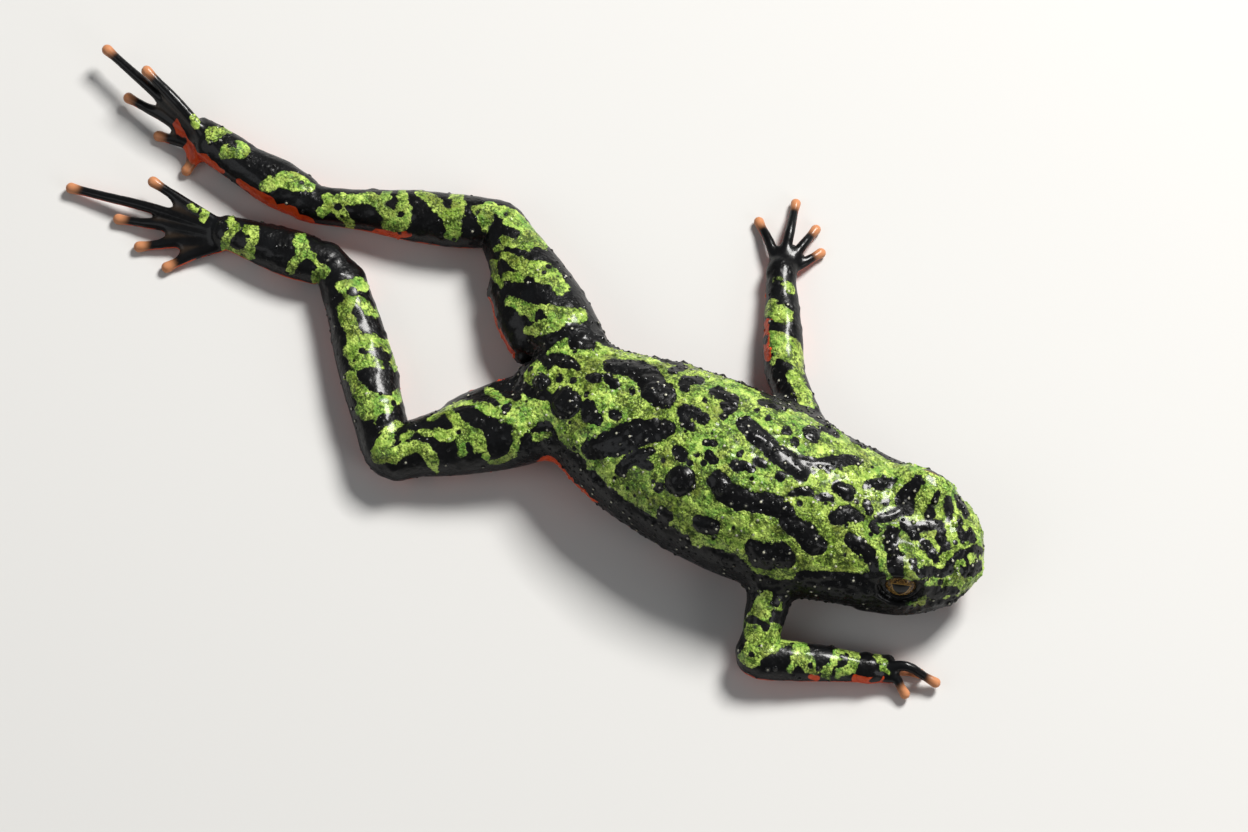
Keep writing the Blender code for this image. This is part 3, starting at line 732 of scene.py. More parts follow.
class Flesh:
    """All the forms melted together, with the mouth, nostrils and lid openings taken out."""

    furthest = 14.0

    def __init__(self) -> None:
        """Gathers the forms in the order in which they melt."""
        self.layers: list[tuple[Form, Work]] = [(Tube(TRUNK, blunt=0.3), Work.ADD)]
        self.add_lips()
        radius = HEAD.lid_radius
        for side in Side:
            self.add(Ball(tuple(Gaze(side).centre()), (radius * 1.08, radius, radius), melt=1.0))
        for limb in (*LEGS, *ARMS):
            self.add(*limb.forms())
        self.mouth = Tube([(*spot, HEAD.mouth_groove) for spot in self.lip_line(HEAD.mouth_height)], melt=0.15)
        self.cut(self.mouth)
        self.cut_nostrils()
        for side in Side:
            self.open_lids(Gaze(side))

    def add(self, *forms: Form) -> None:
        """Adds forms to the flesh."""
        self.layers += [(form, Work.ADD) for form in forms]

    def cut(self, *forms: Form) -> None:
        """Takes forms out of the flesh."""
        self.layers += [(form, Work.CUT) for form in forms]

    def distance(self, points: np.ndarray) -> np.ndarray:
        """About how far each point is outside the flesh.

        Args:
            points: Places in the body frame.

        Returns:
            The distance of each point.
        """
        found = np.full(len(points), FAR)
        for form, work in self.layers:
            if work is Work.ADD:
                found = melted(found, form.distance(points), form.melt)
            else:
                found = -melted(-found, form.distance(points), form.melt)
        return found

    def draw(self, mesh: bmesh.types.BMesh) -> None:
        """Adds every added form's coarse shape to the mesh."""
        for form in (form for form, work in self.layers if work is Work.ADD):
            form.draw(mesh)

    def surface_from(self, start: np.ndarray, direction: Iterable[float]) -> np.ndarray:
        """The point where a line leaves the flesh.

        Args:
            start: A point inside.
            direction: Where the line goes, of any length.

        Returns:
            The first point outside.
        """
        ahead = np.array(direction) / np.linalg.norm(direction)
        steps = np.linspace(0, self.furthest, 600)
        outside = self.distance(start + steps[:, None] * ahead) > 0
        return start + steps[int(np.argmax(outside))] * ahead

    def lip_line(self, height: float, inset: float = 0.0) -> list[np.ndarray]:
        """The points round the head's edge at a height, from one corner of the mouth to the other.

        Args:
            height: The height of the line.
            inset: How far inside the surface it runs.

        Returns:
            The points.
        """
        start = in_head(-1.8, -0.4, height)
        found = []
        for turn in np.linspace(-HEAD.mouth_reach, HEAD.mouth_reach, 41) + HEAD.turn:
            direction = np.array([math.cos(turn), math.sin(turn), 0])
            found.append(self.surface_from(start, direction) - direction * inset)
        return found

    def add_lips(self) -> None:
        """The rounded edges of both jaws."""
        inset = HEAD.lip_radius - 0.12
        lips = [self.lip_line(HEAD.mouth_height + lift, inset) for lift in (0.6, -0.6)]
        for lip in lips:
            self.add(Tube([(*spot, HEAD.lip_radius) for spot in lip], melt=0.5))

    def open_lids(self, gaze: Gaze) -> None:
        """Thins an eye's lids, gives them their edges and opens them.

        Args:
            gaze: The eye's place and direction.
        """
        opening = LidOpening(gaze)
        self.cut(LidDish(gaze))
        self.add(opening.rim(upper=True), opening.rim(upper=False))
        self.cut(opening)

    def cut_nostrils(self) -> None:
        """The two nostrils on the snout."""
        for side in Side:
            direction = turned(np.array([[1.0, side.value * 0.45, 0.0]]), HEAD.turn)[0]
            spot = self.surface_from(in_head(3.2, side.value * HEAD.nostril_apart * 0.36, 6.0), direction)
            inner = spot - 0.5 * direction
            rows = ((*spot, HEAD.nostril_radius), (*inner, HEAD.nostril_radius * 0.8))
            self.cut(Tube(rows, melt=0.2))


@dataclass(frozen=True)
class PhotoView:
    """The camera that took the photograph, in the body frame."""

    azimuth: float = math.radians(22.4)
    elevation: float = math.radians(70)
    lens: float = 200.0
    sensor: float = 36.0
    away: float = 636.55
    aim: Point = (10.34, -0.03, 3.56)
    frame: tuple[int, int] = (1248, 832)

    def axes(self) -> tuple[np.ndarray, np.ndarray, np.ndarray]:
        """The directions to the right, up and back towards the camera.

        Returns:
            Three unit vectors.
        """
        sine, cosine = math.sin(self.azimuth), math.cos(self.azimuth)
        flat = math.cos(self.elevation)
        back = np.array([sine * flat, -cosine * flat, math.sin(self.elevation)])
        right = np.array([cosine, sine, 0.0])
        return right, np.cross(back, right), back

    def eye(self) -> np.ndarray:
        """Where the camera stands."""
        return np.array(self.aim) + self.axes()[2] * self.away

    def pixels_across(self) -> float:
        """The lens's length in pixels of the photograph."""
        return self.lens / self.sensor * self.frame[0]

    def ray(self, across: float, down: float) -> np.ndarray:
        """The direction in which the camera sees a pixel.

        Args:
            across: Pixels from the left.
            down: Pixels from the top.

        Returns:
            A unit vector.
        """
        right, up, back = self.axes()
        flat = (across - self.frame[0] / 2) * right - (down - self.frame[1] / 2) * up
        ray = flat / self.pixels_across() - back
        return ray / np.linalg.norm(ray)

    def pixel_size(self) -> float:
        """The millimetres that a pixel covers on the toad."""
        return self.away / self.pixels_across()

    def flattened(self, points: np.ndarray, depth: float) -> np.ndarray:
        """The points along the photograph's own axes, with their depth scaled down."""
        right, up, back = self.axes()
        return points @ np.stack([right, up, back * depth], axis=1)


VIEW = PhotoView()


@dataclass(frozen=True)
class Stroke:
    """A run of round dabs, each (pixel across, pixel down, radius in pixels).

    On skin that the photograph doesn't show, each dab is (x, y, z, radius) in the body frame.
    """

    layer: Layer
    dabs: tuple[Row, ...]

    def hidden(self) -> bool:
        """Whether its dabs are in the body frame."""
        return len(self.dabs[0]) == 4


def green(*dabs: Row) -> Stroke:
    """A green stroke."""
    return Stroke(Layer.GREEN, dabs)


def dark(*dabs: Row) -> Stroke:
    """A black stroke."""
    return Stroke(Layer.DARK, dabs)


# The green of the back and the crown, as balls inside the body
GREEN_BACK: tuple[Row, ...] = (
    (3.6, -0.2, 8.0, 3.4),
    (6.0, -0.6, 9.0, 5.6),
    (10.0, -1.2, 10.5, 7.6),
    (16.0, -1.9, 11.7, 8.9),
    (22.0, -2.4, 12.1, 9.3),
    (28.0, -2.6, 11.6, 9.2),
    (33.0, -2.4, 10.4, 8.4),
    (38.0, -2.0, 9.2, 7.6),
    (42.0, -1.8, 8.0, 6.0),
    (44.6, -1.8, 6.8, 3.9),
)

# Round black spots of the back: (pixel across, pixel down, radius in pixels)
BACK_SPOTS: tuple[Point, ...] = (
    (566, 403, 15), (615, 414, 5), (573, 381, 3), (560, 378, 3), (723, 417, 3), (697, 455, 2), (740, 453, 2),
    (780, 476, 5), (680, 481, 14), (659, 488, 4), (665, 515, 7), (812, 434, 8), (795, 442, 4), (632, 391, 2),
    (587, 394, 2), (705, 401, 2), (757, 410, 2), (768, 418, 2),
)

# The black of the back, from the rump to the shoulders
BACK_BLOTCHES = (
    dark((610, 366, 6), (630, 368, 8), (648, 376, 11), (655, 390, 14), (662, 395, 13)),
    dark((593, 449, 10), (612, 444, 13), (636, 434, 13), (655, 430, 10), (667, 429, 8)),
    dark((745, 425, 8), (760, 438, 9), (775, 452, 9), (790, 463, 9), (801, 472, 9)),
    dark((718, 481, 9), (727, 492, 11), (740, 500, 10), (757, 502, 9), (775, 505, 10), (786, 513, 7)),
    dark((788, 522, 8), (803, 532, 10), (814, 544, 10), (820, 547, 7)),
    dark((588, 407, 6), (589, 415, 7), (597, 420, 5)),
    dark((553, 358, 4), (565, 362, 6), (578, 367, 3)),
    dark((590, 378, 4), (597, 378, 4)),
    dark((608, 378, 4), (614, 384, 5)),
    dark((672, 370, 3), (682, 368, 3)),
    dark((685, 389, 4), (686, 380, 5), (700, 380, 3)),
    dark((713, 392, 4), (722, 394, 4), (732, 400, 6), (730, 407, 6), (723, 405, 3)),
    dark((682, 412, 5), (684, 420, 5), (691, 427, 4)),
    dark((684, 410, 5), (696, 413, 4), (705, 420, 4)),
    dark((677, 450, 4), (683, 456, 5)),
    dark((709, 455, 4), (713, 459, 4)),
    dark((705, 443, 2), (715, 444, 3)),
    dark((734, 466, 4), (744, 466, 4), (752, 469, 3)),
    dark((758, 461, 4), (763, 464, 4)),
    dark((621, 469, 5), (628, 462, 5), (638, 456, 5), (650, 452, 4)),
    dark((641, 462, 4), (650, 467, 3)),
    dark((700, 523, 7), (711, 527, 8)),
    dark((752, 546, 6), (760, 556, 11), (778, 556, 13), (786, 560, 8)),
    dark((792, 493, 3), (802, 491, 4), (810, 492, 3)),
    dark((785, 431, 3), (790, 432, 2)),
    dark((800, 461, 4), (815, 463, 4), (832, 463, 6), (845, 460, 5), (857, 461, 3)),
    dark((822, 497, 4), (831, 499, 3)),
    dark((836, 518, 6), (846, 514, 7), (858, 517, 5)),
    dark((822, 428, 2), (836, 434, 3)),
    dark((763, 402, 4), (776, 406, 4), (790, 408, 3), (808, 410, 3), (817, 415, 3)),
    *map(dark, BACK_SPOTS),
)

# The black about the vent and along the near flank
VENT_AND_FLANK = (
    dark((524, 365, 12)),
    dark((541, 383, 8)),
    dark((533, 350, 4), (541, 356, 4), (549, 365, 4)),
    dark((520, 386, 4), (534, 395, 4), (548, 396, 4)),
    dark((590, 335, 6), (576, 342, 7), (590, 345, 4)),
    dark((545, 430, 8), (552, 452, 12), (574, 466, 12)),
    dark((588, 482, 12), (606, 500, 12), (630, 519, 13), (655, 531, 12), (680, 544, 11)),
    dark((705, 558, 12), (730, 566, 12), (742, 572, 8)),
    dark((800, 590, 13), (830, 590, 13), (870, 592, 13), (905, 592, 10), (915, 587, 7)),
    dark((802, 577, 6), (850, 578, 5), (880, 578, 5)),
)

# The black of the crown, the lids and the snout
HEAD_BLOTCHES = (
    dark((838, 487, 6), (847, 493, 8)),
    dark((868, 485, 4), (878, 484, 6), (888, 484, 5), (894, 481, 3)),
    dark((919, 480, 4), (911, 489, 7), (904, 499, 9), (908, 510, 6)),
    dark((898, 512, 5), (888, 517, 5), (880, 517, 5)),
    dark((867, 505, 5), (870, 512, 3)),
    dark((886, 502, 4)),
    dark((872, 525, 3), (876, 530, 4)),
    dark((930, 507, 3), (930, 514, 6)),
    dark((948, 500, 4), (949, 510, 5), (949, 518, 3)),
    dark((938, 494, 3), (934, 502, 3)),
    dark((957, 497, 3), (962, 507, 4), (966, 515, 3)),
    dark((903, 523, 4), (911, 531, 6), (915, 537, 5)),
    dark((915, 527, 5), (928, 526, 4), (939, 525, 5)),
    dark((941, 531, 4), (940, 538, 5), (945, 546, 5), (941, 551, 3)),
    dark((924, 543, 5), (930, 550, 5), (935, 558, 4), (938, 562, 2)),
    dark((892, 532, 7), (890, 541, 8), (893, 550, 6)),
    dark((895, 557, 8), (895, 567, 8), (898, 576, 5)),
    dark((913, 561, 4), (915, 568, 3)),
    dark((850, 539, 6), (858, 545, 8), (868, 553, 7), (873, 563, 5), (874, 572, 4)),
    dark((844, 555, 2)),
    dark((959, 522, 3), (960, 532, 4), (964, 539, 4)),
    dark((969, 533, 4), (972, 539, 4)),
    dark((968, 550, 3), (975, 549, 5), (982, 552, 3)),
    dark((963, 553, 4), (957, 560, 6), (950, 566, 5)),
    dark((963, 562, 5), (965, 572, 5)),
    dark((972, 571, 6), (978, 566, 5)),
    dark((922, 573, 5), (932, 571, 5), (941, 573, 4), (950, 571, 3)),
    dark((935, 592, 9)),
    dark((947, 590, 5), (957, 592, 4)),
    dark((930, 605, 6), (945, 604, 6), (958, 600, 6), (967, 593, 5), (975, 583, 4)),
    dark((850, 605, 8), (880, 607, 8), (905, 610, 6)),
    dark((880, 588, 8), (900, 596, 9), (918, 592, 7), (926, 584, 5)),
    green((927, 584, 2), (938, 582, 3), (948, 581, 3.5), (957, 583, 3.5), (967, 583, 3)),
    green((957, 563, 1.5), (962, 561, 2), (965, 565, 1.5)),
    green((915, 605, 2)),
)

# The green bands of the far leg, from the thigh to the foot
FAR_LEG_BANDS = (
    green((504, 211, 5), (512, 217, 7), (524, 227, 7), (535, 237, 7), (544, 243, 4)),
    green((505, 240, 3), (515, 242, 5), (528, 245, 5)),
    dark((515, 235, 4)),
    green((504, 256, 3), (514, 262, 5), (530, 268, 8), (545, 272, 9), (555, 280, 8), (562, 289, 5)),
    green((507, 277, 4), (520, 277, 4)),
    green((509, 302, 3), (520, 307, 5), (535, 313, 8), (550, 316, 7), (565, 315, 6), (580, 316, 6)),
    green((528, 331, 3), (545, 327, 7), (560, 322, 5)),
    dark((540, 315, 4)),
    green((498, 249, 3)),
    green((493, 263, 2), (495, 275, 2), (500, 285, 2)),
    green((491, 206, 5), (486, 215, 6), (484, 228, 4)),
    green((500, 212, 4), (508, 220, 4)),
    green((457, 198, 6), (458, 210, 6), (453, 222, 8), (452, 234, 6)),
    green((420, 193, 3), (430, 198, 4), (440, 208, 5), (447, 216, 5)),
    dark((447, 202, 4)),
    green((402, 194, 5), (404, 208, 6), (402, 222, 7), (396, 229, 7), (386, 226, 4)),
    green((345, 200, 4), (356, 199, 4), (368, 197, 5), (378, 203, 4), (387, 214, 5), (396, 220, 5)),
    green((387, 196, 4)),
    green((328, 199, 4), (336, 207, 5), (344, 215, 4), (350, 225, 4)),
    green((322, 211, 4), (331, 204, 4), (342, 199, 4)),
    dark((338, 207, 3)),
    dark((400, 215, 4)),
    green((263, 187, 3), (275, 182, 5), (289, 180, 8), (300, 184, 6), (310, 188, 3)),
    green((225, 152, 4), (236, 153, 5), (246, 151, 4), (240, 144, 3)),
    green((213, 134, 6), (221, 131, 4), (227, 130, 3)),
    green((194, 118, 3), (196, 126, 2)),
    green((475, 208, 3)),
)

# The green bands of the near leg, from the thigh to the foot
NEAR_LEG_BANDS = (
    green((488, 391, 2), (500, 398, 3), (511, 405, 4), (525, 412, 6), (530, 420, 6), (520, 428, 6), (516, 437, 3)),
    green((471, 403, 2), (485, 407, 4), (500, 413, 5), (513, 420, 6)),
    dark((506, 409, 4)),
    green((533, 404, 4), (544, 409, 4)),
    green((450, 415, 3), (459, 424, 5), (469, 433, 6), (478, 440, 7), (481, 447, 5)),
    green((462, 440, 5), (462, 452, 3)),
    green((420, 431, 2), (435, 433, 4), (450, 436, 5)),
    green((404, 437, 3), (412, 433, 3)),
    green((393, 456, 5), (404, 450, 5), (415, 446, 5), (426, 451, 5), (432, 460, 5), (435, 468, 3)),
    green((432, 419, 2), (440, 412, 1.5), (455, 405, 1.5), (470, 402, 2)),
    green((484, 455, 2), (490, 462, 2), (505, 460, 2), (515, 452, 2), (517, 441, 2)),
    green((537, 437, 3), (548, 434, 2)),
    green((398, 425, 3), (390, 433, 5), (383, 445, 7), (379, 455, 7), (393, 457, 6)),
    green((342, 284, 4), (348, 292, 6), (357, 284, 5), (366, 287, 4)),
    green((350, 301, 4), (344, 310, 5), (347, 322, 7), (353, 333, 6)),
    green((360, 299, 3), (367, 308, 4), (375, 315, 3)),
    dark((353, 292, 3)),
    green((349, 352, 6), (360, 344, 7), (375, 341, 5), (386, 345, 4), (392, 355, 3), (396, 367, 3)),
    green((356, 362, 6), (370, 359, 5), (381, 363, 4)),
    dark((377, 352, 4), (388, 357, 4)),
    green((350, 376, 4), (355, 387, 5), (362, 396, 8), (372, 403, 9), (385, 405, 7), (395, 400, 5), (398, 395, 4)),
    green((360, 411, 5), (374, 415, 4)),
    green((374, 422, 2)),
    green((300, 237, 4), (302, 247, 6), (305, 255, 7), (312, 262, 5), (320, 270, 5), (326, 273, 3)),
    green((294, 262, 4), (291, 271, 3)),
    green((315, 281, 3), (318, 273, 4)),
    dark((308, 267, 6)),
    green((231, 221, 4), (236, 227, 4), (228, 235, 3), (225, 246, 3), (231, 256, 3), (244, 262, 3)),
    green((246, 228, 4), (255, 233, 4), (252, 245, 4), (248, 257, 4)),
    dark((237, 243, 6)),
    green((205, 213, 3), (203, 220, 2)),
    green((190, 206, 3), (196, 210, 2)),
)

# The green bands of the arms
ARM_BANDS = (
    green((765, 598, 6), (763, 610, 10), (758, 626, 12), (756, 642, 11)),
    green((775, 605, 6), (777, 628, 5), (770, 634, 7)),
    dark((752, 620, 3), (759, 622, 3), (766, 627, 3)),
    dark((775, 603, 3)),
    dark((777, 615, 4), (782, 620, 4.5)),
    green((750, 655, 7), (760, 650, 8), (772, 645, 6), (785, 642, 4)),
    dark((751, 656, 3.5)),
    green((743, 656, 2.5), (746, 663, 2.5), (756, 663, 2.5)),
    green((800, 645, 6), (803, 656, 7), (808, 666, 6), (813, 672, 3)),
    green((794, 663, 4), (790, 669, 2)),
    green((841, 652, 4), (835, 660, 3), (828, 669, 3), (826, 675, 3)),
    green((853, 652, 4), (855, 662, 3), (850, 670, 4), (840, 674, 4)),
    green((877, 656, 2.5), (884, 662, 2.5)),
    green((884, 668, 3), (888, 672, 2)),
    green((775, 360, 4), (785, 358, 5), (795, 361, 5), (801, 370, 4)),
    green((795, 376, 6), (799, 388, 7), (805, 398, 7), (812, 405, 4)),
    dark((780, 364, 3), (790, 364, 3)),
)

# Bands on the far forearm and hand, and blotches on the far flank
HIDDEN_BANDS = (
    green((22.4, 11.6, 3.6, 1.5), (20.4, 11.9, 3.4, 1.2)),
    green((20.2, 14.6, 3.0, 1.0), (18.6, 15.2, 2.6, 0.8)),
    green((19.6, 17.6, 2.6, 0.7), (18.2, 18.1, 2.4, 0.5)),
    dark((9.0, 6.0, 5.0, 1.5), (13.0, 6.4, 5.6, 1.2)),
    dark((16.0, 6.6, 6.6, 1.0), (18.6, 6.2, 6.0, 1.6), (20.4, 6.2, 7.2, 0.8)),
    dark((24.4, 5.4, 8.2, 0.9), (22.6, 5.6, 7.9, 1.1)),
    dark((28.6, 4.9, 7.9, 0.8), (27.0, 5.4, 7.2, 1.1), (26.6, 5.8, 6.2, 0.9)),
    dark((14.0, 5.2, 7.9, 0.6), (12.4, 5.3, 7.2, 0.9)),
    dark((31.6, 4.4, 7.4, 0.9)),
    dark((30.6, 4.8, 5.4, 1.5), (33.4, 4.2, 5.5, 1.5), (35.4, 3.7, 5.8, 1.4)),
    dark((35.4, 3.9, 5.4, 1.5), (38.1, 3.8, 4.7, 1.4), (41.4, 2.9, 4.4, 1.2)),
    dark((43.4, 1.4, 4.9, 0.6), (44.4, 0.5, 4.4, 0.9)),
)

# The orange that shows past the edges from above: (pixel across, pixel down, radius in pixels)
ORANGE_EDGES: tuple[tuple[Point, ...], ...] = (
    ((489, 300, 2), (494, 322, 3), (501, 340, 4), (509, 356, 4)),
    ((470, 388, 2), (486, 383, 2), (503, 378, 3)),
    ((232, 188, 3), (250, 196, 4), (268, 206, 4), (290, 216, 4), (312, 221, 2)),
    ((174, 118, 2), (184, 142, 5), (200, 164, 5), (216, 178, 2)),
    ((856, 679, 3), (868, 681, 3), (882, 677, 3)),
    ((811, 677, 2), (817, 678, 2)),
    ((376, 232, 2), (395, 236, 2), (408, 234, 2)),
    ((767, 322, 2), (766, 340, 2.5), (768, 358, 1.5)),
)

# Orange that climbs the flanks and the limbs' undersides, as balls in the body frame
ORANGE_PATCHES: tuple[tuple[Row, ...], ...] = (
    ((5.4, -5.6, 3.2, 1.8), (8.2, -7.2, 3.4, 1.7), (11.6, -8.8, 3.5, 1.3), (15.0, -9.9, 3.1, 0.9)),
    ((18.5, -10.6, 2.2, 0.9), (21.5, -10.9, 2.4, 0.7)),
    ((8.0, 5.4, 2.6, 1.4), (11.5, 6.0, 2.9, 1.1)),
    ((17.0, 6.4, 2.2, 1.0), (20.5, 6.2, 2.0, 0.8)),
    ((26.5, -8.6, 2.4, 1.0),),
    ((3.0, 5.2, 2.4, 1.0), (-0.5, 6.8, 1.8, 0.8)),
    ((1.0, -7.0, 2.2, 0.9), (-3.5, -9.6, 1.9, 0.7)),
    ((-13.5, 13.0, 1.3, 0.7), (-18.0, 11.9, 1.3, 0.8)),
)

# Single warts that stand out: (pixel across, pixel down, radius in pixels, rise in millimetres)
LARGE_WARTS: tuple[Row, ...] = (
    (680, 480, 14, 0.42),
    (524, 364, 12, 0.6),
    (542, 383, 8, 0.32),
    (566, 403, 14, 0.22),
    (812, 434, 8, 0.2),
    (845, 491, 9, 0.25),
    (878, 484, 8, 0.22),
    (858, 543, 7, 0.2),
    (814, 543, 8, 0.2),
    (790, 508, 8, 0.25),
    (755, 437, 8, 0.18),
    (655, 392, 12, 0.18),
    (722, 488, 8, 0.2),
)


class Canvas:
    """Lands pixels on the skin and measures how far each of its points is inside the strokes.

    Depth along the camera's rays counts for a share only. A ray that misses lands beside the toad at
    a level above the floor, and a stroke is measured as far as a margin past its dabs.
    """

    depth_share = 0.3
    level = 2.6
    margin = 2.5
    apart = 9.0

    def __init__(self, points: np.ndarray, faces: list[tuple[int, ...]]) -> None:
        """Keeps the skin's points, and its faces in a tree for rays.

        Args:
            points: The skin's points in the body frame.
            faces: Its faces as indices into the points.
        """
        self.points = points
        self.flat = VIEW.flattened(points, self.depth_share)
        self.tree = BVHTree.FromPolygons([tuple(point) for point in points], faces)

    def land(self, across: float, down: float) -> np.ndarray:
        """Where a pixel of the photograph lies on the skin, or the skin's nearest point beside its ray.

        Args:
            across: Pixels from the left.
            down: Pixels from the top.

        Returns:
            The place in the body frame.
        """
        eye, ray = VIEW.eye(), VIEW.ray(across, down)
        spot, _, _, _ = self.tree.ray_cast(Vector(eye), Vector(ray))
        if spot is None:
            beside = eye + ray * (self.level - eye[2]) / ray[2]
            spot, _, _, _ = self.tree.find_nearest(Vector(beside))
        return np.array(spot)

    def landed(self, dabs: Iterable[Point]) -> list[Row]:
        """The dabs on the skin with their radii in millimetres, and more between them.

        Args:
            dabs: Each (pixel across, pixel down, radius in pixels).

        Returns:
            Rows of (x, y, z, radius) in the body frame.
        """
        rows = [np.array(dab, float) for dab in dabs]
        found = [rows[0]]
        for start, end in zip(rows, rows[1:]):
            count = max(1, math.ceil(float(np.linalg.norm(end[:2] - start[:2])) / self.apart))
            found += [start + (end - start) * step / count for step in range(1, count + 1)]
        return [(*self.land(row[0], row[1]), row[2] * VIEW.pixel_size()) for row in found]

    def painted(self, dabs: Iterable[Point]) -> np.ndarray:
        """How far each point is inside a stroke of the photograph, as its camera sees it.

        Args:
            dabs: Each (pixel across, pixel down, radius in pixels).

        Returns:
            The distance of each point.
        """
        chain = np.array(self.landed(dabs))
        chain[:, :3] = VIEW.flattened(chain[:, :3], self.depth_share)
        return self.inside(chain, self.flat)

    def inside(self, rows: Iterable[Row], points: np.ndarray | None = None) -> np.ndarray:
        """How far each point of the skin is inside a chain of balls, negative outside.

        Args:
            rows: The balls, each (x, y, z, radius).
            points: The points to measure, where they aren't the skin's own.

        Returns:
            The distance of each point.
        """
        every = self.points if points is None else points
        chain = np.array(list(rows), float)
        if len(chain) == 1:
            chain = np.vstack([chain, chain + (0, 0, 1e-6, 0)])
        reach = chain[:, 3].max() + self.margin
        low, high = chain[:, :3].min(0) - reach, chain[:, :3].max(0) + reach
        near = np.all((every > low) & (every < high), axis=1)
        found = np.full(len(every), -FAR)
        points = every[near]
        best = np.full(len(points), -FAR)
        for start, end in zip(chain, chain[1:]):
            line = end[:3] - start[:3]
            share = np.clip((points - start[:3]) @ line / max(line @ line, 1e-12), 0, 1)
            gap = np.linalg.norm(points - start[:3] - share[:, None] * line, axis=1)
            best = np.maximum(best, start[3] + (end[3] - start[3]) * share - gap)
        found[near] = best
        return found


class Markings:
    """The colours' borders on the skin, as signed distances in millimetres at each of its points."""

    bleed = 0.13
    head_bleed = 0.05
    edge_bleed = 0.12
    edge_slope = 3
    patch_slope = 2
    orange_height = 1.9
    orange_drop = 3.2
    orange_turn = 0.15

    def __init__(self, canvas: Canvas, normals: np.ndarray, flesh: Flesh) -> None:
        """Measures every border once.

        Args:
            canvas: The skin's points and rays.
            normals: The skin's normals.
            flesh: The forms under the skin.
        """
        self.canvas = canvas
        self.normals = normals
        self.flesh = flesh
        self.green = self.green_border()
        self.orange = self.orange_border()
        self.tips = self.digit_tips()
        self.digit_gap = np.min([digit.tube().distance(canvas.points) for digit in digits()], axis=0)
        self.web = self.web_cover()

    def green_border(self) -> np.ndarray:
        """How far inside the green each point is, negative in the black.

        Returns:
            The signed distance of each point.
        """
        found = self.canvas.inside(GREEN_BACK)
        found = self.painted(found, (*BACK_BLOTCHES, *VENT_AND_FLANK), self.bleed)
        found = self.painted(found, HEAD_BLOTCHES, self.head_bleed)
        return self.painted(found, (*FAR_LEG_BANDS, *NEAR_LEG_BANDS, *ARM_BANDS, *HIDDEN_BANDS), self.bleed)

    def painted(self, found: np.ndarray, strokes: Iterable[Stroke], bleed: float) -> np.ndarray:
        """The green border after more strokes, each laid over those before it.

        Args:
            found: The border so far.
            strokes: The strokes in order.
            bleed: How far each spreads past its dabs.

        Returns:
            The new border.
        """
        for stroke in strokes:
            if stroke.hidden():
                inside = self.canvas.inside(stroke.dabs)
            else:
                inside = self.canvas.painted(stroke.dabs) + bleed
            if stroke.layer is Layer.GREEN:
                found = np.maximum(found, inside)
            else:
                found = np.minimum(found, -inside)
        return found

    def orange_border(self) -> np.ndarray:
        """How far inside the orange of the underside each point is.

        Returns:
            The signed distance of each point.
        """
        height = self.canvas.points[:, 2]
        upward = np.clip(self.normals[:, 2] + self.orange_turn, 0, 1)
        found = self.orange_height - height - self.orange_drop * upward
        for edge in ORANGE_EDGES:
            found = np.maximum(found, self.edge_slope * (self.canvas.painted(edge) + self.edge_bleed))
        for patch in ORANGE_PATCHES:
            found = np.maximum(found, self.patch_slope * self.canvas.inside(patch))
        return found

    def digit_tips(self) -> np.ndarray:
        """1 on the pads at the digits' tips, falling to 0 behind them."""
        gaps = [np.linalg.norm(self.canvas.points - np.array(digit.tip), axis=1) for digit in digits()]
        return 1 - eased(np.min(gaps, axis=0), 0.4, 1.3)

    def web_cover(self) -> np.ndarray:
        """1 on the webs between the toes."""
        rungs = [rung.distance(self.canvas.points) for leg in LEGS for rung in leg.webs()]
        return (1 - eased(np.min(rungs, axis=0), 0.1, 0.4)) * eased(self.digit_gap, 0.05, 0.25)


class Socket:
    """An output of a node, with arithmetic that adds Math nodes."""

    def __init__(self, bench: NodeBench, output: bpy.types.NodeSocket) -> None:
        """Keeps the output and the tree it belongs to."""
        self.bench = bench
        self.output = output

    def math(self, operation: str, *others: Socket | float) -> Socket:
        """A Math node on this value and others."""
        values = {index: value for index, value in enumerate((self, *others))}
        return self.bench.out("ShaderNodeMath", {"operation": operation}, values)

    def __add__(self, other: Socket | float) -> Socket:
        """The sum."""
        return self.math("ADD", other)

    __radd__ = __add__

    def __sub__(self, other: Socket | float) -> Socket:
        """The difference."""
        return self.math("SUBTRACT", other)

    def __rsub__(self, other: float) -> Socket:
        """The difference from a number."""
        return self.bench.out("ShaderNodeMath", {"operation": "SUBTRACT"}, {0: other, 1: self})

    def __mul__(self, other: Socket | float) -> Socket:
        """The product."""
        return self.math("MULTIPLY", other)

    __rmul__ = __mul__

    def above(self, other: Socket | float) -> Socket:
        """The larger of the two."""
        return self.math("MAXIMUM", other)

    def step(self, low: float, high: float) -> Socket:
        """A smooth step from 0 at low to 1 at high, or back where low is the larger.

        Args:
            low: Where it is 0.
            high: Where it is 1.

        Returns:
            The eased value.
        """
        rising = high > low
        values = {"Value": self, "From Min": min(low, high), "From Max": max(low, high)}
        values |= {"To Min": 0.0 if rising else 1.0, "To Max": 1.0 if rising else 0.0}
        return self.bench.out("ShaderNodeMapRange", {"interpolation_type": "SMOOTHSTEP"}, values)


Value = Socket | float | int | str | tuple | bpy.types.ID


